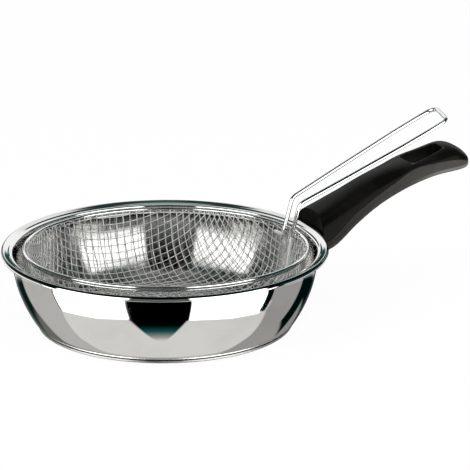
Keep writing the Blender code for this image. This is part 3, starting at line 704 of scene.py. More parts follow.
@dataclass(frozen=True)
class BrightWire:
    """Plated wire with faint marks of the drawing die, dulled below a height where one is given."""

    name: str
    slot: Slot
    colour: Colour
    dull_colour: Colour
    roughness: tuple[float, float]
    dulled_below: float = 0.0
    dull_fade: float = 0.0015
    metallic: float = 1.0

    def make(self, effects: EffectLibrary) -> MaterialBench:
        """Build the material and return its bench."""
        bench = MaterialBench(self.name, self.slot)
        bench.metal(self.roughness[0])
        bench.shader.inputs["Metallic"].default_value = self.metallic
        marks = bench.group(effects.handling, Smear_Size=45.0, Speck_Size=1100.0)
        bench.wire(bench.blend(marks.outputs["Smears"], self.colour, self.dull_colour),
                   "Base Color")
        rough = bench.ease(marks.outputs["Specks"], 0.0, 1.0, *self.roughness)
        if self.dulled_below:
            height = bench.axes()[2]
            low, high = self.dulled_below - self.dull_fade, self.dulled_below
            bench.wire(bench.ease(height, low, high, 0.35, 1.0), "Metallic")
            rough = bench.math("ADD", rough, bench.ease(height, low, high, 0.25, 0.0))
        bench.wire(rough, "Roughness")
        bench.bump(marks.outputs["Specks"], 0.1, 0.000004)
        return bench


class Finishes:
    """Every finish of the object, made once."""

    def __init__(self) -> None:
        """Make the shared groups and the materials."""
        effects = EffectLibrary()
        self.mirror = MirrorSteel().make(effects)
        self.inside = BrushedInside().make(effects)
        self.satin = SatinSteel().make(effects)
        self.aluminium = PressedAluminium().make(effects)
        self.phenolic = BlackPhenolic().make(effects)
        self.rod = BrightWire("bright_rod", Slot.CHROME_WIRE, (0.90, 0.90, 0.89),
                              (0.82, 0.82, 0.82), (0.10, 0.14), 0.0600).make(effects)
        self.net = BrightWire("tinned_net_wire", Slot.TINNED_WIRE, (0.78, 0.775, 0.76),
                              (0.70, 0.695, 0.68), (0.30, 0.36),
                              metallic=0.5).make(effects)
        self.zinc = BrightWire("zinc_plate", Slot.ZINC, (0.62, 0.63, 0.65),
                               (0.50, 0.50, 0.50), (0.26, 0.4)).make(effects)


# Pan

@dataclass
class PanBowl:
    """The drawn bowl with its stepped lip, and the sandwich base under it."""

    height: float = 0.0645
    lip_radius: float = 0.1336
    lip_band: float = 0.0049
    ledge: float = 0.0042
    lip_top: tuple[RingPoint, ...] = (
        (0.1239, 0.0607), (0.1242, 0.0617), (0.1249, 0.0621), (0.1261, 0.0622),
        (0.12665, 0.06225), (0.1272, 0.0625), (0.1277, 0.0629), (0.1282, 0.0632),
        (0.1290, 0.06345), (0.1300, 0.06385), (0.1309, 0.0642), (0.1316, 0.0644),
    )
    roll: tuple[float, float] = (0.0021, 0.0029)
    lip_under: tuple[RingPoint, ...] = (
        (0.1296, 0.0625), (0.1280, 0.0618), (0.1264, 0.0611), (0.1252, 0.0606),
        (0.12465, 0.0598),
    )
    sheet: float = 0.0009
    wall_top_drop: float = 0.0062
    foot_radius: float = 0.1067
    foot_height: float = 0.0043
    curve_power: float = 2.0
    wall_rows: int = 12
    turns: int = 80
    cap_radius: float = 0.1046
    cap_height: float = 0.0040
    cap_edge: float = 0.0011
    cap_sheet: float = 0.0006

    def wall_radius(self, height: float) -> float:
        """Return the wall's outer radius at a height."""
        top = self.height - self.wall_top_drop
        mouth = self.lip_radius - self.lip_band - self.ledge
        share = min(max((top - height) / (top - self.foot_height), 0.0), 1.0)
        return mouth - (mouth - self.foot_radius) * share ** self.curve_power

    def wall(self, offset: float) -> list[RingPoint]:
        """Return the wall's rings from foot to top, moved inward by an offset."""
        top = self.height - self.wall_top_drop
        rings = []
        for row in range(self.wall_rows + 1):
            height = self.foot_height + (top - self.foot_height) * row / self.wall_rows
            rings.append((self.wall_radius(height) - offset,
                          max(height, self.foot_height + offset)))
        return rings

    def lip(self) -> list[RingPoint]:
        """Return the lip's rings from the mouth, over the crest, to the wall's outside."""
        across, down = self.roll
        middle = (self.lip_radius - across, self.height - down)
        shoulder = [
            (middle[0] + across * math.cos(math.radians(angle)),
             middle[1] + down * math.sin(math.radians(angle)))
            for angle in (80.0, 63.0, 47.0, 31.0, 15.0, 0.0, -14.0)
        ]
        curl = [
            (self.lip_radius - self.sheet / 2, middle[1] - 0.0011),
            (self.lip_radius - self.sheet, middle[1] - 0.0012),
            (self.lip_radius - self.sheet * 1.3, middle[1] - 0.0003),
            (self.lip_radius - self.sheet * 1.5, self.height - self.sheet * 2),
        ]
        return [*self.lip_top, *shoulder, *curl, *self.lip_under]

    def bowl(self) -> bpy.types.Object:
        """Raise the bowl from the floor's middle, over the lip and back under the floor."""
        floor_top = self.foot_height + self.sheet
        inner = self.wall(self.sheet)
        outer = self.wall(0.0)
        floor_rings = (0.002, 0.030, 0.060, 0.085, 0.0975)
        rings = [(radius, floor_top) for radius in floor_rings]
        rings += [(0.1012, floor_top), (0.1034, floor_top + self.sheet / 3)]
        rings += inner[1:] + self.lip() + list(reversed(outer))
        rings += [(0.1046, self.foot_height)]
        rings += [(radius, self.foot_height) for radius in reversed(floor_rings)]
        piece = turned("pan_bowl", rings, self.turns)
        subdivide(piece, 2)
        shade(piece, 70.0)
        return piece

    def line(self, bowl: bpy.types.Object, finish: MaterialBench) -> None:
        """Give the bowl's inside its own finish below the mouth."""
        bowl.data.materials.append(finish.material)
        top = self.height - self.wall_top_drop + self.sheet
        for face in bowl.data.polygons:
            radius = math.hypot(face.center.x, face.center.y)
            within = self.wall_radius(face.center.z) - radius > self.sheet * 0.6
            if within and self.foot_height + self.sheet * 0.6 < face.center.z < top:
                face.material_index = 1

    def cap(self) -> bpy.types.Object:
        """Raise the base's capsule, a shallow dish with a rounded edge."""
        edge = self.cap_edge
        rings: list[RingPoint] = [(0.002, 0.0), (0.050, 0.0), (0.095, 0.0), (0.1015, 0.0)]
        for row in range(6):
            angle = math.pi / 2 * row / 5
            rings.append((self.cap_radius - edge + edge * math.sin(angle),
                          edge - edge * math.cos(angle)))
        rings += [
            (self.cap_radius, self.cap_height * 0.7),
            (self.cap_radius - self.cap_sheet / 6, self.cap_height),
            (self.cap_radius - self.cap_sheet, self.cap_height),
            (self.cap_radius - self.cap_sheet, edge),
            (self.cap_radius - edge, self.cap_sheet),
            (0.002, self.cap_sheet),
        ]
        piece = turned("base_capsule", rings, 256)
        shade(piece, 40.0)
        return piece

    def build(self, finishes: Finishes) -> None:
        """Build the bowl and its base, and dress them."""
        bowl = self.bowl()
        finishes.mirror.dress(bowl)
        self.line(bowl, finishes.inside)
        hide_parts("pan_body")
        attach(bowl, Body.PAN.value)
        cap = self.cap()
        finishes.satin.dress(cap)
        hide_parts("base_cap")
        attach(cap, Body.PAN.value)
        dress_node("base_core", finishes.aluminium)
        LOG.info("pan bowl and base built")


def dress_node(node: str, finish: MaterialBench) -> None:
    """Give a CAD node a better material and leave its mesh as it is."""
    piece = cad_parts[node]
    piece.data.materials.clear()
    piece.data.materials.append(finish.material)


# Grip

@dataclass
class PanGrip:
    """The phenolic grip on its bracket, with its hang slot and screw."""

    start: float = 0.1260
    end: float = 0.2782
    nose_start: float = 0.2527
    root_half: float = 0.0255
    waist_half: float = 0.0183
    end_half: float = 0.0205
    crowns: tuple[float, ...] = (0.0735, 0.0824, 0.0914, 0.1001, 0.1066, 0.1116, 0.1168,
                                 0.1222, 0.1235)
    unders: tuple[float, ...] = (0.0460, 0.0522, 0.0658, 0.0775, 0.0868, 0.0943, 0.0997,
                                 0.1020, 0.1029)
    ridges: tuple[float, ...] = (0.14, 0.31, 0.42, 0.445, 0.56, 0.80, 0.66, 0.50, 0.45)
    scallops: tuple[float, ...] = (0.5, 1.0, 1.0, 1.0, 1.0, 0.8, 0.3, 0.0, 0.0)
    nose_height: float = 0.0055
    nose_power: float = 2.2
    scallop_depth: float = 0.0022
    flange: float = 0.0036
    flange_inset: float = 0.0012
    crown_power: float = 2.3
    root_square: tuple[float, float] = (1.3, 0.25)
    stations: int = 60
    crown_points: int = 16
    band_points: int = 7
    voxel: float = 0.00055
    edge_blur: float = 0.0006
    # Where the band's painted sheen and the flange's painted highlight fade in along the grip.
    band_fade: tuple[float, float] = (0.150, 0.225)
    flange_fade: tuple[float, float] = (0.215, 0.245)
    slot: tuple[float, float, float, float] = (0.2212, 0.2522, 0.0137, 0.0088)
    root_clear: float = 0.1342
    bracket_root: tuple[float, float] = (0.1238, 0.0475)
    bracket_slope: float = math.radians(38.0)
    bracket_reach: float = 0.0400
    bracket_width: float = 0.0200
    bracket_depth: float = 0.0090
    fit: float = 0.0006
    screw_place: float = 0.0310
    tip_clear: float = 0.00035
    slot_reach: tuple[float, float] = (0.085, 0.130)
    slot_corners: tuple[float, float] = (0.0045, 0.0025)
    socket_back: float = 0.006
    socket_bevel: float = 0.0012
    seat_rise: float = 0.0029
    hole_radius: float = 0.0024
    recess_radius: float = 0.0048
    head_radius: float = 0.0042
    shank_radius: float = 0.0020
    head_drop: float = 0.0012
    head_height: float = 0.0020
    cross: tuple[float, float, float] = (0.0050, 0.0009, 0.0022)
    # The painted highlight on the slot's rim: its depth below the crown, strength, offset and
    # spread.
    rim_depth: float = 0.0062
    rim_highlight: float = 0.42
    rim_offset: float = 0.0001
    rim_spread: float = 0.00045

    def share(self, place: float) -> float:
        """Return how far along the grip a place lies."""
        return (place - self.start) / (self.end - self.start)

    @staticmethod
    def read(share: float, values: Sequence[float]) -> float:
        """Read evenly spaced values smoothly at a share of their length."""
        span = len(values) - 1
        index = min(int(share * span), span - 1)
        part = share * span - index
        here, ahead = values[index], values[index + 1]
        slope_here = (ahead - values[max(index - 1, 0)]) / (2 if index else 1)
        slope_ahead = (values[min(index + 2, span)] - here) / (1 if index + 1 == span else 2)
        change = ahead - here
        return here + part * (slope_here + part * (
            3 * change - 2 * slope_here - slope_ahead
            + part * (slope_here + slope_ahead - 2 * change)))

    def nose(self, place: float) -> float:
        """Return how far into the rounded nose a place lies."""
        return max(0.0, (place - self.nose_start) / (self.end - self.nose_start))

    def under(self, place: float) -> float:
        """Return the underside's height at a place."""
        return self.read(self.share(place), self.unders)

    def crown(self, place: float) -> float:
        """Return the crown's height at a place."""
        fall = self.nose(place) ** self.nose_power
        return (self.read(self.share(place), self.crowns) * (1 - fall)
                + (self.under(place) + self.nose_height) * fall)

    def half_width(self, place: float) -> float:
        """Return half the grip's width at a place."""
        share = self.share(place)
        waist = math.sin(math.pi * share) ** 2
        ends = self.root_half * (1 - share) + self.end_half * share
        return ((ends * (1 - waist) + self.waist_half * waist)
                * math.sqrt(1 - self.nose(place) ** 3))

    def section(self, place: float) -> list[Vector]:
        """Return the points round the grip's closed section at a place."""
        half = self.half_width(place)
        top = self.crown(place)
        low = self.under(place)
        flange = min(self.flange, (top - low) / 2)
        ridge = max(low + (top - low) * self.read(self.share(place), self.ridges), low + flange)
        hollow = self.scallop_depth * max(0.0, self.read(self.share(place), self.scallops))
        near_root = max(0.0, 1.0 - self.share(place) / self.root_square[1])
        power = self.crown_power + self.root_square[0] * near_root
        side = []
        for step in range(self.crown_points):
            angle = math.pi / 2 * (1 - step / (self.crown_points - 1))
            side.append((max(half * math.cos(angle) ** (2 / power), 0.0),
                         ridge + (top - ridge) * math.sin(angle) ** (2 / power)))
        for step in range(1, self.band_points):
            part = step / self.band_points
            side.append((half - hollow * math.sin(math.pi * part),
                         ridge + (low + flange - ridge) * part))
        side += [(half, low + flange), (half, low + flange / 3),
                 (half - min(self.flange_inset, half / 3), low), (half / 2, low)]
        points = side + [(-across, up) for across, up in reversed(side[1:])]
        return [Vector((place, across, up)) for across, up in points]

    def arm_place(self) -> Matrix:
        """Return the bracket arm's frame: X along it, Z square to its web."""
        root = Vector((self.bracket_root[0], 0.0, self.bracket_root[1]))
        return Matrix.Translation(root) @ Matrix.Rotation(-self.bracket_slope, 4, "Y")

    def screw_frame(self) -> Matrix:
        """Return the grip screw's frame: Z up its shank."""
        return self.arm_place() @ Matrix.Translation(Vector((self.screw_place, 0.0, 0.0)))

    def blank(self) -> bpy.types.Object:
        """Loft the uncut grip."""
        sections = []
        for index in range(self.stations + 1):
            share = 1 - (1 - index / self.stations) ** 1.25
            place = min(self.start + (self.end - self.start) * share, self.end - self.tip_clear)
            sections.append(self.section(place))
        return lofted("grip_moulding", sections)

    def slot_tool(self) -> bpy.types.Object:
        """Build the prism that opens the hang slot."""
        start, end, wide, narrow = self.slot
        near_corner, far_corner = self.slot_corners
        corners = [
            (Vector((start - 0.001, 0.0, 0.0)), 0.0),
            (Vector((start, wide, 0.0)), near_corner),
            (Vector((end, narrow, 0.0)), far_corner),
            (Vector((end, -narrow, 0.0)), far_corner),
            (Vector((start, -wide, 0.0)), near_corner),
            (Vector((start - 0.001, 0.0, 0.0)), 0.0),
        ]
        outline = round_bends(corners, 0.004)[:-1]
        return lofted("slot_tool", [[point + Vector((0.0, 0.0, level)) for point in outline]
                                    for level in self.slot_reach])

    def socket_tool(self) -> bpy.types.Object:
        """Build the block that opens the socket for the bracket's arm."""
        deselect_all()
        half = self.bracket_width / 2 + self.fit
        deep = self.bracket_depth / 2 + self.fit
        bpy.ops.mesh.primitive_cube_add(size=1.0)
        tool = name_piece("socket_tool")
        front = self.bracket_reach + self.fit
        tool.scale = (front + self.socket_back, half * 2, deep * 2)
        tool.location = ((front - self.socket_back) / 2, 0.0, 0.0)
        settle(tool)
        settle(tool, self.arm_place())
        bevel(tool, self.socket_bevel, 3)
        return tool

    def pin(self, name: str, radius: float, low: float, high: float,
            steps: int = 48) -> bpy.types.Object:
        """Add a round pin in the screw's frame.

        Args:
            name: name of the pin.
            radius: its radius.
            low: its lower end in the screw's frame.
            high: its upper end.
            steps: faces round it.

        Returns:
            The pin.
        """
        deselect_all()
        bpy.ops.mesh.primitive_cylinder_add(vertices=steps, radius=radius, depth=high - low,
                                            location=(0.0, 0.0, (high + low) / 2))
        piece = name_piece(name)
        settle(piece, self.screw_frame())
        return piece

    def head_seat(self) -> float:
        """Return how far below the arm's middle the screw's head bears."""
        middle = self.screw_frame().translation
        return (middle.z - self.under(middle.x)) * math.cos(self.bracket_slope) - self.seat_rise

    def moulding(self) -> bpy.types.Object:
        """Make the finished grip with softly rounded edges."""
        piece = self.blank()
        deselect_all()
        bpy.ops.mesh.primitive_cylinder_add(vertices=256, radius=self.root_clear, depth=0.4)
        carve(piece, name_piece("root_tool"))
        carve(piece, self.slot_tool())
        carve(piece, self.socket_tool())
        seat = self.head_seat()
        carve(piece, self.pin("hole_tool", self.hole_radius, -seat - 0.004, 0.0))
        carve(piece, self.pin("recess_tool", self.recess_radius, -seat - 0.016, -seat))
        remesh = piece.modifiers.new("skin", "REMESH")
        remesh.mode = "VOXEL"
        remesh.voxel_size = self.voxel
        finish_modifier(piece, remesh)
        smooth = piece.modifiers.new("soften", "SMOOTH")
        smooth.factor = 0.5
        smooth.iterations = 5
        finish_modifier(piece, smooth)
        pick(piece)
        bpy.ops.object.shade_smooth()
        self.mark(piece)
        return piece

    def ridge(self, place: float) -> float:
        """Return the height of the edge between crown and band at a place."""
        low = self.under(place)
        rise = (self.crown(place) - low) * self.read(self.share(place), self.ridges)
        return low + max(rise, self.flange)

    def mark(self, piece: bpy.types.Object) -> None:
        """Write how much of the matt band, with its painted sheen, and of the flange's painted
        highlight lies at each point of the grip.
        """
        band = piece.data.attributes.new("band", "FLOAT", "POINT")
        flange = piece.data.attributes.new("flange", "FLOAT", "POINT")
        for index, vertex in enumerate(piece.data.vertices):
            place = min(max(vertex.co.x, self.start), self.end - 0.0002)
            low = self.under(place)
            side = self.ramp(abs(vertex.co.y) / self.half_width(place), 0.70, 0.78)
            below = self.ramp(self.ridge(place) - vertex.co.z, 0.0, self.edge_blur)
            foot = self.ramp(vertex.co.z - low, self.edge_blur, self.edge_blur * 2)
            far = self.ramp(place, *self.band_fade)
            # The band, matt and with painted sheen, grows stronger along the grip.
            band.data[index].value = below * foot * side * (0.50 + 0.50 * far)
            lip = self.ramp(low + self.flange - vertex.co.z, 0.0, self.edge_blur)
            # Painted highlight on the flange, fading in along the grip.
            pale = lip * foot * side * self.ramp(place, *self.flange_fade)
            # Painted highlight on the slot's rim.
            painted_rim = self.slot_rim_highlight(vertex.co) if vertex.normal.z > 0.75 else 0.0
            flange.data[index].value = max(pale, painted_rim)

    @staticmethod
    def ramp(value: float, low: float, high: float) -> float:
        """Return how far a value lies from one limit to another, from 0 to 1."""
        return min(max((value - low) / (high - low), 0.0), 1.0)

    def slot_rim_highlight(self, spot: Vector) -> float:
        """Return how much painted highlight lies on the slot's rim at a point."""
        start, end, wide, narrow = self.slot
        if not start - 0.002 < spot.x < end + 0.002 or spot.z < self.crown(spot.x) - self.rim_depth:
            return 0.0
        share = (spot.x - start) / (end - start)
        edge = wide + (narrow - wide) * share
        outside = max(abs(spot.y) - edge, start - spot.x, spot.x - end)
        return self.rim_highlight * math.exp(-((outside - self.rim_offset) / self.rim_spread) ** 2)

    def screw(self) -> bpy.types.Object:
        """Make the grip's screw with a cross recess in its head."""
        seat = self.head_seat()
        head_top = -seat - self.head_drop
        head_low = head_top - self.head_height
        piece = self.pin("grip_screw", self.head_radius, head_low, head_top)
        bevel(piece, 0.0006, 3)
        carve(piece, self.pin("shank", self.shank_radius, head_top - 0.001, 0.0026), union=True)
        for angle in (0.0, math.pi / 2):
            deselect_all()
            bpy.ops.mesh.primitive_cube_add(size=1.0)
            bar = name_piece("cross_tool")
            bar.scale = self.cross
            bar.location = (0.0, 0.0, head_low)
            bar.rotation_euler = (0.0, 0.0, angle)
            settle(bar)
            settle(bar, self.screw_frame())
            carve(piece, bar)
        shade(piece, 30.0)
        return piece

    def build(self, finishes: Finishes) -> None:
        """Build the grip and its screw, and dress the bracket."""
        grip = self.moulding()
        finishes.phenolic.dress(grip)
        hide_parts("handle_grip")
        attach(grip, Body.PAN.value)
        screw = self.screw()
        finishes.zinc.dress(screw)
        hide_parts("handle_screw")
        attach(screw, Body.PAN.value)
        dress_node("handle_bracket", finishes.satin)
        dress_node("handle_nut", finishes.zinc)
        dress_node("handle_washer", finishes.zinc)
        LOG.info("grip and its fixings built")


# Basket

@dataclass(frozen=True)
class BasketStance:
    """How the basket stands in the pan."""

    shift: float = 0.0012
    rim_height: float = 0.0636
    lean: float = math.radians(1.3)
    lean_side: float = math.radians(65.0)

    def place(self) -> Matrix:
        """Return the basket's frame: the rim's plane is z = 0."""
        axis = Vector((-math.sin(self.lean_side), math.cos(self.lean_side), 0.0))
        return (Matrix.Translation(Vector((self.shift, 0.0, self.rim_height)))
                @ Matrix.Rotation(self.lean, 4, axis))


@dataclass
class BasketNet:
    """Square woven wire mesh pressed into a bowl.

    Knots of the weave are found one by one: each lies one pitch from its two neighbours, as
    wires of fixed length must.
    """

    stance: BasketStance
    pitch: float = 0.0061
    wire: float = 0.00042
    wave: float = 0.00030
    top_radius: float = 0.1135
    wall_angle: float = math.radians(8.0)
    corner: float = 0.0280
    floor_height: float = 0.00804
    top_trim: float = 0.0006
    waves_per_pitch: int = 4
    knots: dict[tuple[int, int], tuple[float, float]] = field(default_factory=dict)

    def lengths(self) -> tuple[float, float, float, float]:
        """Return the meridian's floor, corner and wall lengths, and the corner's top height."""
        turn = math.pi / 2 - self.wall_angle
        corner_top = self.floor_depth() + self.corner * (1 - math.cos(turn))
        run = -corner_top / math.cos(self.wall_angle)
        floor = (self.top_radius - run * math.sin(self.wall_angle)
                 - self.corner * math.sin(turn))
        return floor, self.corner * turn, run, corner_top

    def floor_depth(self) -> float:
        """Return the floor's height in the basket's frame."""
        return self.floor_height - self.stance.rim_height

    def point(self, length: float, turn: float, lift: float = 0.0) -> Vector:
        """Return a point of the net.

        Args:
            length: distance from the floor's middle along the meridian.
            turn: angle about the axis.
            lift: distance off the net, inwards.

        Returns:
            The point in the basket's frame.
        """
        floor, arc, _, corner_top = self.lengths()
        if length <= floor:
            radius, height, slope = length, self.floor_depth(), 0.0
        elif length <= floor + arc:
            slope = (length - floor) / self.corner
            radius = floor + self.corner * math.sin(slope)
            height = self.floor_depth() + self.corner * (1 - math.cos(slope))
        else:
            slope = math.pi / 2 - self.wall_angle
            run = length - floor - arc
            radius = floor + self.corner * math.sin(slope) + run * math.cos(slope)
            height = corner_top + run * math.sin(slope)
        radius -= lift * math.sin(slope)
        height += lift * math.cos(slope)
        return Vector((radius * math.cos(turn), radius * math.sin(turn), height))

    def inward(self, length: float, turn: float) -> Vector:
        """Return the net's normal, which points up and inwards, at a point of it."""
        return (self.point(length, turn, 1.0) - self.point(length, turn)).normalized()

    def next_knot(self, first: tuple[float, float], second: tuple[float, float],
                  shared: tuple[float, float]) -> tuple[float, float]:
        """Find the knot one pitch from two neighbours.

        Args:
            first: (length, turn) of one neighbour.
            second: (length, turn) of the other.
            shared: (length, turn) of the knot behind both.

        Returns:
            The knot's (length, turn).
        """
        near, far, behind = (self.point(*spot) for spot in (first, second, shared))
        guess = near + far - behind
        flat = math.hypot(guess.x, guess.y)
        turn = math.atan2(guess.y, guess.x)
        floor = self.lengths()[0]
        if flat <= floor:
            return flat, turn
        length = min(max(first[0] + second[0] - shared[0], floor),
                     max(first[0], second[0]) + self.pitch)
        nudge = 0.00001
        swing = nudge / self.top_radius
        for _ in range(10):
            rows = []
            for probe in ((length, turn), (length + nudge, turn), (length, turn + swing)):
                spot = self.point(*probe)
                rows.append(((spot - near).length - self.pitch,
                             (spot - far).length - self.pitch))
            a = (rows[1][0] - rows[0][0]) / nudge
            b = (rows[2][0] - rows[0][0]) / swing
            c = (rows[1][1] - rows[0][1]) / nudge
            d = (rows[2][1] - rows[0][1]) / swing
            size = a * d - b * c
            if not size:
                break
            length -= (d * rows[0][0] - b * rows[0][1]) / size
            turn -= (a * rows[0][1] - c * rows[0][0]) / size
        return length, turn

    def find_knots(self) -> float:
        """Fill in a quarter of the net's knots and return the meridian's whole length."""
        total = sum(self.lengths()[:3])
        count = int(total / self.pitch) + 2
        half = self.pitch / 2
        self.knots = {}
        for i in range(count + 1):
            for j in range(count + 1):
                if i == 0 and j == 0:
                    self.knots[(0, 0)] = (math.hypot(half, half), math.pi / 4)
                elif i == 0 or j == 0:
                    self.knots[(i, j)] = self.edge_knot(i, j)
                else:
                    keys = ((i - 1, j), (i, j - 1), (i - 1, j - 1))
                    if any(key not in self.knots for key in keys):
                        continue
                    if min(self.knots[key][0] for key in keys[:2]) > total + self.pitch:
                        continue
                    self.knots[(i, j)] = self.next_knot(*(self.knots[key] for key in keys))
        return total

    def edge_knot(self, i: int, j: int) -> tuple[float, float]:
        """Return a knot beside a centre line, which stays half a pitch from it.

        Args:
            i: place along the first direction.
            j: place along the second direction.

        Returns:
            The knot's (length, turn).
        """
        half = self.pitch / 2
        steps = max(i, j)
        length = math.hypot(half, half + steps * self.pitch)
        low, high = length - self.pitch, length + self.pitch
        before = self.knots[(i - 1, j) if i else (i, j - 1)]
        behind = self.point(*before)
        for _ in range(40):
            middle = (low + high) / 2
            spot = self.point(middle, 0.0)
            radius = math.hypot(spot.x, spot.y)
            swing = math.asin(min(half / radius, 1.0))
            turn = swing if i else math.pi / 2 - swing
            if (self.point(middle, turn) - behind).length < self.pitch:
                low = middle
            else:
                high = middle
        return middle, turn

    def wire_route(self, keys: Sequence[tuple[int, int]], total: float,
                   across: bool) -> list[Vector]:
        """Return one wire's route over and under the wires that it crosses.

        Args:
            keys: (i, j) of its knots in order, negative on the far sides.
            total: the meridian's whole length, where the wire is cut.
            across: whether the wire is of the second set.

        Returns:
            Points of the route.
        """
        spots = []
        for i, j in keys:
            length, turn = self.knots[(abs(i) - 1, abs(j) - 1)]
            if i < 0:
                turn = math.pi - turn
            if j < 0:
                turn = -turn
            spots.append((length, turn, 1 if (i + j) % 2 == (1 if across else 0) else -1))
        knots = [self.point(length, turn) for length, turn, _ in spots]
        route = []
        for index, (here, ahead) in enumerate(zip(spots, spots[1:])):
            if min(here[0], ahead[0]) > total:
                continue
            start, stop = knots[index], knots[index + 1]
            lead = (stop - knots[max(index - 1, 0)]) / 2
            follow = (knots[min(index + 2, len(knots) - 1)] - start) / 2
            for step in range(self.waves_per_pitch):
                part = step / self.waves_per_pitch
                spot = (start * ((2 * part - 3) * part * part + 1)
                        + lead * (((part - 2) * part + 1) * part)
                        + stop * ((3 - 2 * part) * part * part)
                        + follow * ((part - 1) * part * part))
                length = here[0] + (ahead[0] - here[0]) * part
                lift = here[2] * self.wave * math.cos(math.pi * part)
                route.append(spot + self.inward(length, math.atan2(spot.y, spot.x)) * lift)
        return [spot for spot in route if spot.z <= self.top_trim]

    def routes(self) -> list[list[Vector]]:
        """Return every wire of the net."""
        total = self.find_knots()
        largest = max(i for i, _ in self.knots) + 1
        order = [index for index in range(-largest, largest + 1) if index]
        found = []
        for across in (False, True):
            for line in order:
                keys = [(run, line) if across else (line, run) for run in order]
                keys = [key for key in keys
                        if (abs(key[0]) - 1, abs(key[1]) - 1) in self.knots]
                route = self.wire_route(sorted(keys), total, across)
                if len(route) > 3:
                    found.append(route)
        return found

    def build(self, finishes: Finishes) -> None:
        """Weave the net and dress it."""
        net = wire_mesh("woven_net", self.routes(), self.wire, 1, self.stance.place())
        finishes.net.dress(net)
        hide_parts("basket_net")
        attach(net, Body.BASKET.value)
        LOG.info("net woven with %d faces", len(net.data.polygons))


@dataclass
class BasketRodwork:
    """The rim ring, the hem wire under it and the long bent handle."""

    stance: BasketStance
    rim_radius: float = 0.1157
    rim_wire: float = 0.0015
    hem_wire: float = 0.0008
    net_radius: float = 0.1133
    net_wire: float = 0.0006
    wall_angle: float = math.radians(8.0)
    touch: float = 0.0003
    rod: float = 0.0016
    foot_half_gap: float = 0.0074
    bend_half_gap: float = 0.0097
    bend_out: float = 0.0064
    bend_rise: float = 0.0256
    bend_radius: float = 0.0085
    reach: float = 0.1341
    rise: float = 0.0905
    skew: float = math.radians(-7.4)
    roll: float = math.radians(2.0)
    end_radius: float = 0.0075
    side_radius: float = 0.050
    end_slant: float = 0.0040
    widths: tuple[tuple[float, float], ...] = ((0.0, 0.49), (0.35, 0.745), (0.70, 0.955),
                                               (0.88, 1.0), (1.0, 0.985))
    half_width: float = 0.0198
    leg_depth: float = 0.0330
    leg_radius: float = 0.0120
    hook_drop: float = 0.0050
    hook_arc: float = 0.0130
    hook_radius: float = 0.0030

    def net_radius_at(self, height: float) -> float:
        """Return the net wall's radius at a height in the basket's frame."""
        return self.net_radius + height * math.tan(self.wall_angle)

    def ring(self, name: str, radius: float, height: float, wire: float,
             sides: int) -> bpy.types.Object:
        """Add a wire ring in the rim's plane or below it.

        Args:
            name: name of the piece.
            radius: radius of the ring.
            height: height in the basket's frame.
            wire: radius of the wire.
            sides: faces round the wire.

        Returns:
            The ring.
        """
        deselect_all()
        bpy.ops.mesh.primitive_torus_add(
            major_segments=240, minor_segments=sides, major_radius=radius, minor_radius=wire,
            location=(0.0, 0.0, height))
        piece = name_piece(name)
        settle(piece, self.stance.place())
        bpy.ops.object.shade_smooth()
        return piece

    def leg_spot(self, turn: float, height: float) -> Vector:
        """Return a point of a leg on the inside of the net's wall."""
        clear = self.net_wire + self.touch + self.rod
        radius = self.net_radius_at(height) - clear / math.cos(self.wall_angle)
        return Vector((radius * math.cos(turn), radius * math.sin(turn), height))

    def loop_side(self, sign: int) -> list[tuple[Vector, float]]:
        """Return the loop's corners on one side, from the bend to the end."""
        foot = Vector((self.net_radius - self.net_wire - self.touch - self.rod, 0.0, 0.0))
        along = Vector((math.cos(self.skew), math.sin(self.skew), 0.0))
        across = Vector((-math.sin(self.skew), math.cos(self.skew), 0.0))
        corners = []
        for share, width in self.widths:
            half = self.half_width * width if share else self.bend_half_gap
            out = self.bend_out + (self.reach - self.bend_out) * share
            out += self.end_slant / 2 * share * sign
            up = self.bend_rise + (self.rise - self.bend_rise) * share
            up += half * sign * math.sin(self.roll)
            radius = {0.0: self.bend_radius, 1.0: self.end_radius}.get(share, self.side_radius)
            corners.append((foot + along * out + across * (half * sign)
                            + Vector((0.0, 0.0, up)), radius))
        return corners

    def corners(self) -> list[tuple[Vector, float]]:
        """Return the whole rod's corners, from the hook to the inner leg's end."""
        foot = self.net_radius - self.net_wire - self.touch - self.rod
        turn = math.asin(self.foot_half_gap / foot)
        hook_turn = turn + self.hook_arc / foot
        corners = [
            (self.leg_spot(hook_turn, -self.hook_drop), 0.0),
            (self.leg_spot(turn, -self.hook_drop), self.hook_radius),
            (self.leg_spot(turn, 0.0), self.leg_radius),
        ]
        corners += self.loop_side(1) + list(reversed(self.loop_side(-1)))
        corners += [
            (self.leg_spot(-turn, 0.0), self.leg_radius),
            (self.leg_spot(-turn, -self.leg_depth), 0.0),
        ]
        return corners

    def build(self, finishes: Finishes) -> None:
        """Build the rings and the handle, and dress them."""
        drop = self.rim_wire + self.touch + self.hem_wire
        hem_radius = self.net_radius_at(-drop) + self.net_wire + self.touch + self.hem_wire
        pieces = {
            "basket_rim": self.ring("rim_ring", self.rim_radius, 0.0, self.rim_wire, 20),
            "basket_hem_wire": self.ring("hem_ring", hem_radius, -drop, self.hem_wire, 12),
            "basket_handle": wire_mesh("handle_rod", [round_bends(self.corners(), 0.004)],
                                       self.rod, 8, self.stance.place()),
        }
        for node, piece in pieces.items():
            finishes.rod.dress(piece)
            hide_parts(node)
            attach(piece, Body.BASKET.value)
        LOG.info("rim, hem wire and handle built")


# Studio

@dataclass(frozen=True)
class Panel:
    """A soft-edged panel of the studio, as polished metal sees it.

    Azimuth is in degrees from the direction of the photographer, elevation above the horizon.
    The low edge climbs by so many degrees per degree of azimuth past 60 on either side. A
    side edge, where given, is the softness of the left and right edges.
    """

    left: float
    right: float
    low: float
    high: float
    edge: float
    colour: Colour
    climb: float = 0.0
    side_edge: float = 0.0


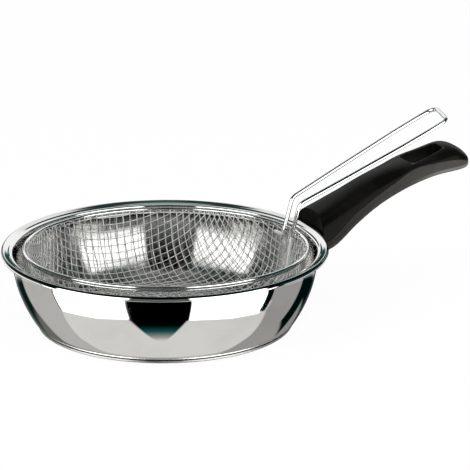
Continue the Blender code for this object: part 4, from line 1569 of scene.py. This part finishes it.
@dataclass
class Studio:
    """Floor, lamps, surroundings and camera."""

    azimuth: float = math.radians(-25.0)
    elevation: float = math.radians(17.235)
    camera_place: tuple[float, float, float] = (0.05705, -2.3012, 0.7876)
    lens: float = 226.65
    fill: float = 0.80
    panels: tuple[Panel, ...] = (
        Panel(-400.0, 400.0, -95.0, -28.0, 1.5, (0.50, 0.49, 0.475)),
        Panel(88.0, 158.0, -20.0, 62.0, 4.0, (0.012, 0.045, 0.044)),
        Panel(-158.0, -92.0, -20.0, 62.0, 4.0, (0.050, 0.070, 0.066)),
        Panel(-150.0, -92.0, -66.0, -20.5, 1.5, (0.49, 0.48, 0.462)),
        Panel(90.0, 150.0, -66.0, -20.5, 1.5, (0.335, 0.328, 0.318)),
        Panel(-170.0, -90.0, -20.5, -6.0, 1.2, (1.0, 1.0, 1.0)),
        Panel(88.0, 163.0, -20.5, -14.0, 1.2, (0.95, 0.95, 0.95)),
        Panel(-222.0, -139.0, -38.0, -20.0, 2.0, (0.002, 0.012, 0.010)),
        Panel(-222.0, -138.0, -62.0, -31.5, 2.5, (0.15, 0.148, 0.140)),
        Panel(-225.0, -163.0, -62.0, -20.0, 2.0, (0.22, 0.26, 0.25), 0.0, 12.0),
        Panel(131.0, 222.0, -39.0, -20.0, 1.2, (0.0, 0.004, 0.004)),
        Panel(168.0, 225.0, -27.0, -20.0, 1.5, (0.10, 0.15, 0.145), 0.0, 12.0),
        Panel(148.0, 225.0, -62.0, -27.5, 1.2, (0.27, 0.27, 0.265)),
        Panel(140.0, 220.0, 0.0, 31.0, 2.0, (1.0, 1.0, 1.0)),
        Panel(-220.0, -140.0, 0.0, 31.0, 2.0, (1.0, 1.0, 1.0)),
        Panel(158.0, 169.0, -3.0, 12.0, 2.0, (0.040, 0.070, 0.065)),
        Panel(156.0, 174.5, 28.0, 48.0, 2.5, (0.85, 0.85, 0.85)),
        Panel(-174.5, -156.0, 28.0, 48.0, 2.5, (0.85, 0.85, 0.85)),
        Panel(164.0, 222.0, -20.0, -1.0, 1.2, (0.002, 0.016, 0.015)),
        Panel(-222.0, -164.0, -20.0, -1.0, 1.2, (0.002, 0.016, 0.015)),
        Panel(169.0, 222.0, -8.0, 12.0, 2.0, (0.012, 0.060, 0.052)),
        Panel(-222.0, -160.0, -8.0, 13.0, 2.0, (0.012, 0.060, 0.052)),
        Panel(-400.0, 400.0, 52.0, 95.0, 3.0, (0.020, 0.045, 0.042)),
        Panel(-92.0, 92.0, 34.0, 80.0, 3.0, (0.020, 0.045, 0.042)),
        Panel(-400.0, 400.0, 74.0, 95.0, 4.0, (0.42, 0.42, 0.41)),
        Panel(174.0, 222.0, 33.0, 62.0, 2.5, (0.030, 0.085, 0.078)),
        Panel(-222.0, -174.0, 33.0, 62.0, 2.5, (0.030, 0.085, 0.078)),
    )
    boxes: tuple[Panel, ...] = (
        Panel(-93.2, -18.0, -40.3, -13.0, 0.9, (3.0, 3.0, 2.97), 0.15),
        Panel(16.0, 87.0, -41.4, -13.0, 0.9, (3.0, 3.0, 2.97), 0.13),
        Panel(-77.0, -18.0, -15.0, 33.0, 2.0, (3.0, 3.0, 2.97)),
        Panel(16.0, 74.0, -15.0, 33.0, 2.0, (3.0, 3.0, 2.97)),
        Panel(-29.5, 21.5, -42.0, -17.0, 0.8, (0.0, 0.0, 0.0)),
        Panel(-23.5, 18.0, -18.5, 92.0, 1.5, (0.0, 0.0, 0.0)),
        Panel(-22.0, 17.0, -17.0, 14.0, 4.0, (0.12, 0.16, 0.153)),
        Panel(85.6, 92.3, -36.5, -10.0, 0.5, (0.0, 0.004, 0.004)),
        Panel(-94.4, -93.0, -35.0, -8.0, 0.5, (0.05, 0.055, 0.050)),
    )
    wedge: tuple[tuple[float, Colour], ...] = (
        (0.24, (0.40, 0.39, 0.38)), (0.34, (0.26, 0.27, 0.26)), (0.42, (0.12, 0.16, 0.15)),
        (0.52, (0.010, 0.075, 0.072)), (0.64, (0.0, 0.030, 0.030)), (0.74, (0.0, 0.002, 0.002)),
    )
    table: Colour = (0.70, 0.695, 0.680)
    room: Colour = (0.002, 0.010, 0.010)

    def floor(self) -> None:
        """Lay the plain pale floor."""
        deselect_all()
        bpy.ops.mesh.primitive_plane_add(size=12.0, location=(0.0, 0.0, -0.0002))
        floor = name_piece("studio_floor")
        floor.visible_glossy = False
        material = bpy.data.materials.new("studio_floor")
        material.use_nodes = True
        bench = NodeBench(material.node_tree)
        material.node_tree.nodes.clear()
        matt = bench.add("ShaderNodeBsdfDiffuse", {"Color": (0.93, 0.93, 0.93, 1.0)})
        glow = bench.add("ShaderNodeEmission", {"Color": (1.0, 1.0, 1.0, 1.0), "Strength": 1.0})
        path = bench.add("ShaderNodeLightPath")
        share = bench.math("MULTIPLY", path.outputs["Is Camera Ray"], 0.93)
        mixed = bench.add("ShaderNodeMixShader", {0: share, 1: matt.outputs[0],
                                                  2: glow.outputs[0]})
        bench.add("ShaderNodeOutputMaterial", {0: mixed.outputs[0]})
        floor.data.materials.append(material)

    def lamp(self, name: str, place: Vector, size: float, power: float) -> None:
        """Hang a soft square lamp that points at the pan.

        Args:
            name: name of the lamp.
            place: where it hangs.
            size: length of its side.
            power: its power in watts.
        """
        deselect_all()
        bpy.ops.object.light_add(type="AREA", location=place)
        lamp = name_piece(name)
        lamp.data.size = size
        lamp.data.energy = power
        lamp.visible_glossy = False
        aim = Vector((0.03, 0.0, 0.05)) - place
        lamp.rotation_euler = aim.to_track_quat("-Z", "Y").to_euler()

    def camera(self) -> None:
        """Set the camera at the photograph's place and angle."""
        deselect_all()
        bpy.ops.object.camera_add()
        camera = name_piece("studio_camera")
        turn = Matrix.Rotation(self.azimuth, 4, "Z")
        back = turn @ Vector((0.0, -math.cos(self.elevation), math.sin(self.elevation)))
        right = turn @ Vector((1.0, 0.0, 0.0))
        up = back.cross(right)
        stand = turn @ Vector(self.camera_place)
        camera.matrix_world = Matrix((
            (right.x, up.x, back.x, stand.x),
            (right.y, up.y, back.y, stand.y),
            (right.z, up.z, back.z, stand.z),
            (0.0, 0.0, 0.0, 1.0),
        ))
        camera.data.lens = self.lens
        camera.data.sensor_width = 36.0
        camera.data.clip_end = 20.0
        bpy.context.scene.camera = camera

    def panel_mask(self, bench: NodeBench, panel: Panel, across: bpy.types.NodeSocket,
                   up: bpy.types.NodeSocket) -> bpy.types.NodeSocket:
        """Return the share of a panel seen in a direction."""
        edge = panel.edge
        side = panel.side_edge or edge
        low_side = up
        if panel.climb:
            past = bench.math("SUBTRACT", bench.math("ABSOLUTE", across), 60.0)
            past = bench.math("MAXIMUM", past, 0.0)
            low_side = bench.math("SUBTRACT", up, bench.math("MULTIPLY", past, panel.climb))
        masks = [
            bench.ease(across, panel.left - side, panel.left + side),
            bench.ease(across, panel.right - side, panel.right + side, 1.0, 0.0),
            bench.ease(low_side, panel.low - edge, panel.low + edge),
            bench.ease(up, panel.high - edge, panel.high + edge, 1.0, 0.0),
        ]
        mask = masks[0]
        for other in masks[1:]:
            mask = bench.math("MULTIPLY", mask, other)
        return mask

    def table_top(self, bench: NodeBench, across: bpy.types.NodeSocket,
                  up: bpy.types.NodeSocket) -> bpy.types.NodeSocket:
        """Return the share of the pale table top, which widens towards the pan's foot."""
        half = bench.add("ShaderNodeMapRange", {0: up, 1: -52.0, 2: -36.0, 3: 106.0, 4: 94.0})
        side = bench.math("SUBTRACT", half.outputs[0], bench.math("ABSOLUTE", across))
        return bench.math("MULTIPLY", bench.ease(side, -1.0, 1.0),
                          bench.ease(up, -30.0, -28.0, 1.0, 0.0))

    def table_notch(self, bench: NodeBench, across: bpy.types.NodeSocket,
                    up: bpy.types.NodeSocket) -> tuple[bpy.types.NodeSocket,
                                                       bpy.types.NodeSocket]:
        """Return the dark wedge that runs into the table in front, as a mask and a colour."""
        rise = bench.add("ShaderNodeMapRange", {0: up, 1: -66.5, 2: -40.0}).outputs[0]
        half = bench.math("MULTIPLY", bench.math("SQRT", rise), 25.5)
        away = bench.math("ABSOLUTE", bench.math("ADD", across, 4.5))
        side = bench.math("SUBTRACT", half, away)
        mask = bench.math("MULTIPLY", bench.ease(side, -1.5, 1.5), bench.ease(up, -67.0, -61.0))
        mask = bench.math("MULTIPLY", mask, bench.ease(up, -41.0, -38.0, 1.0, 0.0))
        ramp = bench.add("ShaderNodeValToRGB", {0: bench.add(
            "ShaderNodeMapRange", {0: up, 1: -70.0, 2: -40.0}).outputs[0]})
        stops = ramp.color_ramp.elements
        stops[0].position, stops[0].color = 0.0, (0.66, 0.655, 0.64, 1.0)
        stops[1].position, stops[1].color = 1.0, (0.0, 0.0, 0.0, 1.0)
        for position, colour in self.wedge:
            stop = stops.new(position)
            stop.color = (*colour, 1.0)
        return mask, ramp.outputs[0]

    def surroundings(self) -> None:
        """Paint the world: white to the camera, panels to polished metal, plain fill else."""
        world = bpy.data.worlds.new("studio")
        bpy.context.scene.world = world
        world.use_nodes = True
        world.node_tree.nodes.clear()
        bench = NodeBench(world.node_tree)
        ray = bench.add("ShaderNodeTexCoord").outputs["Generated"]
        turned_ray = bench.add("ShaderNodeMapping", {"Vector": ray,
                                                     "Rotation": (0.0, 0.0, -self.azimuth)},
                               vector_type="VECTOR")
        split = bench.add("ShaderNodeSeparateXYZ", {0: turned_ray.outputs[0]})
        front = bench.math("MULTIPLY", split.outputs[1], -1.0)
        across = bench.math("MULTIPLY", bench.math("ARCTAN2", split.outputs[0], front),
                            math.degrees(1.0))
        up = bench.math("MULTIPLY", bench.math("ARCSINE", split.outputs[2]), math.degrees(1.0))
        seen: object = self.room
        for panel in self.panels:
            seen = bench.blend(self.panel_mask(bench, panel, across, up), seen, panel.colour)
        seen = bench.blend(self.table_top(bench, across, up), seen, self.table)
        for panel in self.boxes:
            seen = bench.blend(self.panel_mask(bench, panel, across, up), seen, panel.colour)
        notch, notch_colour = self.table_notch(bench, across, up)
        seen = bench.blend(notch, seen, notch_colour)
        path = bench.add("ShaderNodeLightPath")
        plain = (self.fill, self.fill, self.fill)
        mixed = bench.blend(path.outputs["Is Glossy Ray"], plain, seen)
        mixed = bench.blend(path.outputs["Is Camera Ray"], mixed, (1.0, 1.0, 1.0))
        light = bench.add("ShaderNodeBackground", {"Color": mixed, "Strength": 1.0})
        bench.add("ShaderNodeOutputWorld", {0: light.outputs[0]})

    def build(self) -> None:
        """Set up the whole studio."""
        self.camera()
        self.floor()
        turn = Matrix.Rotation(self.azimuth, 4, "Z")
        self.lamp("key_lamp", turn @ Vector((-0.9, -0.9, 1.3)), 1.0, 9.0)
        self.lamp("side_lamp", turn @ Vector((1.1, -0.7, 1.0)), 0.9, 5.0)
        self.surroundings()
        bpy.context.scene.view_settings.view_transform = "Standard"
        LOG.info("studio set")


def write_sizes() -> None:
    """Bring the scene's placements up to date."""
    bpy.context.view_layer.update()


def main() -> None:
    """Build the studio and every sub-assembly in order."""
    logging.basicConfig(level=logging.INFO)
    Studio().build()
    finishes = Finishes()
    PanBowl().build(finishes)
    PanGrip().build(finishes)
    stance = BasketStance()
    BasketRodwork(stance).build(finishes)
    BasketNet(stance).build(finishes)
    write_sizes()


if __name__ == "__main__":
    main()
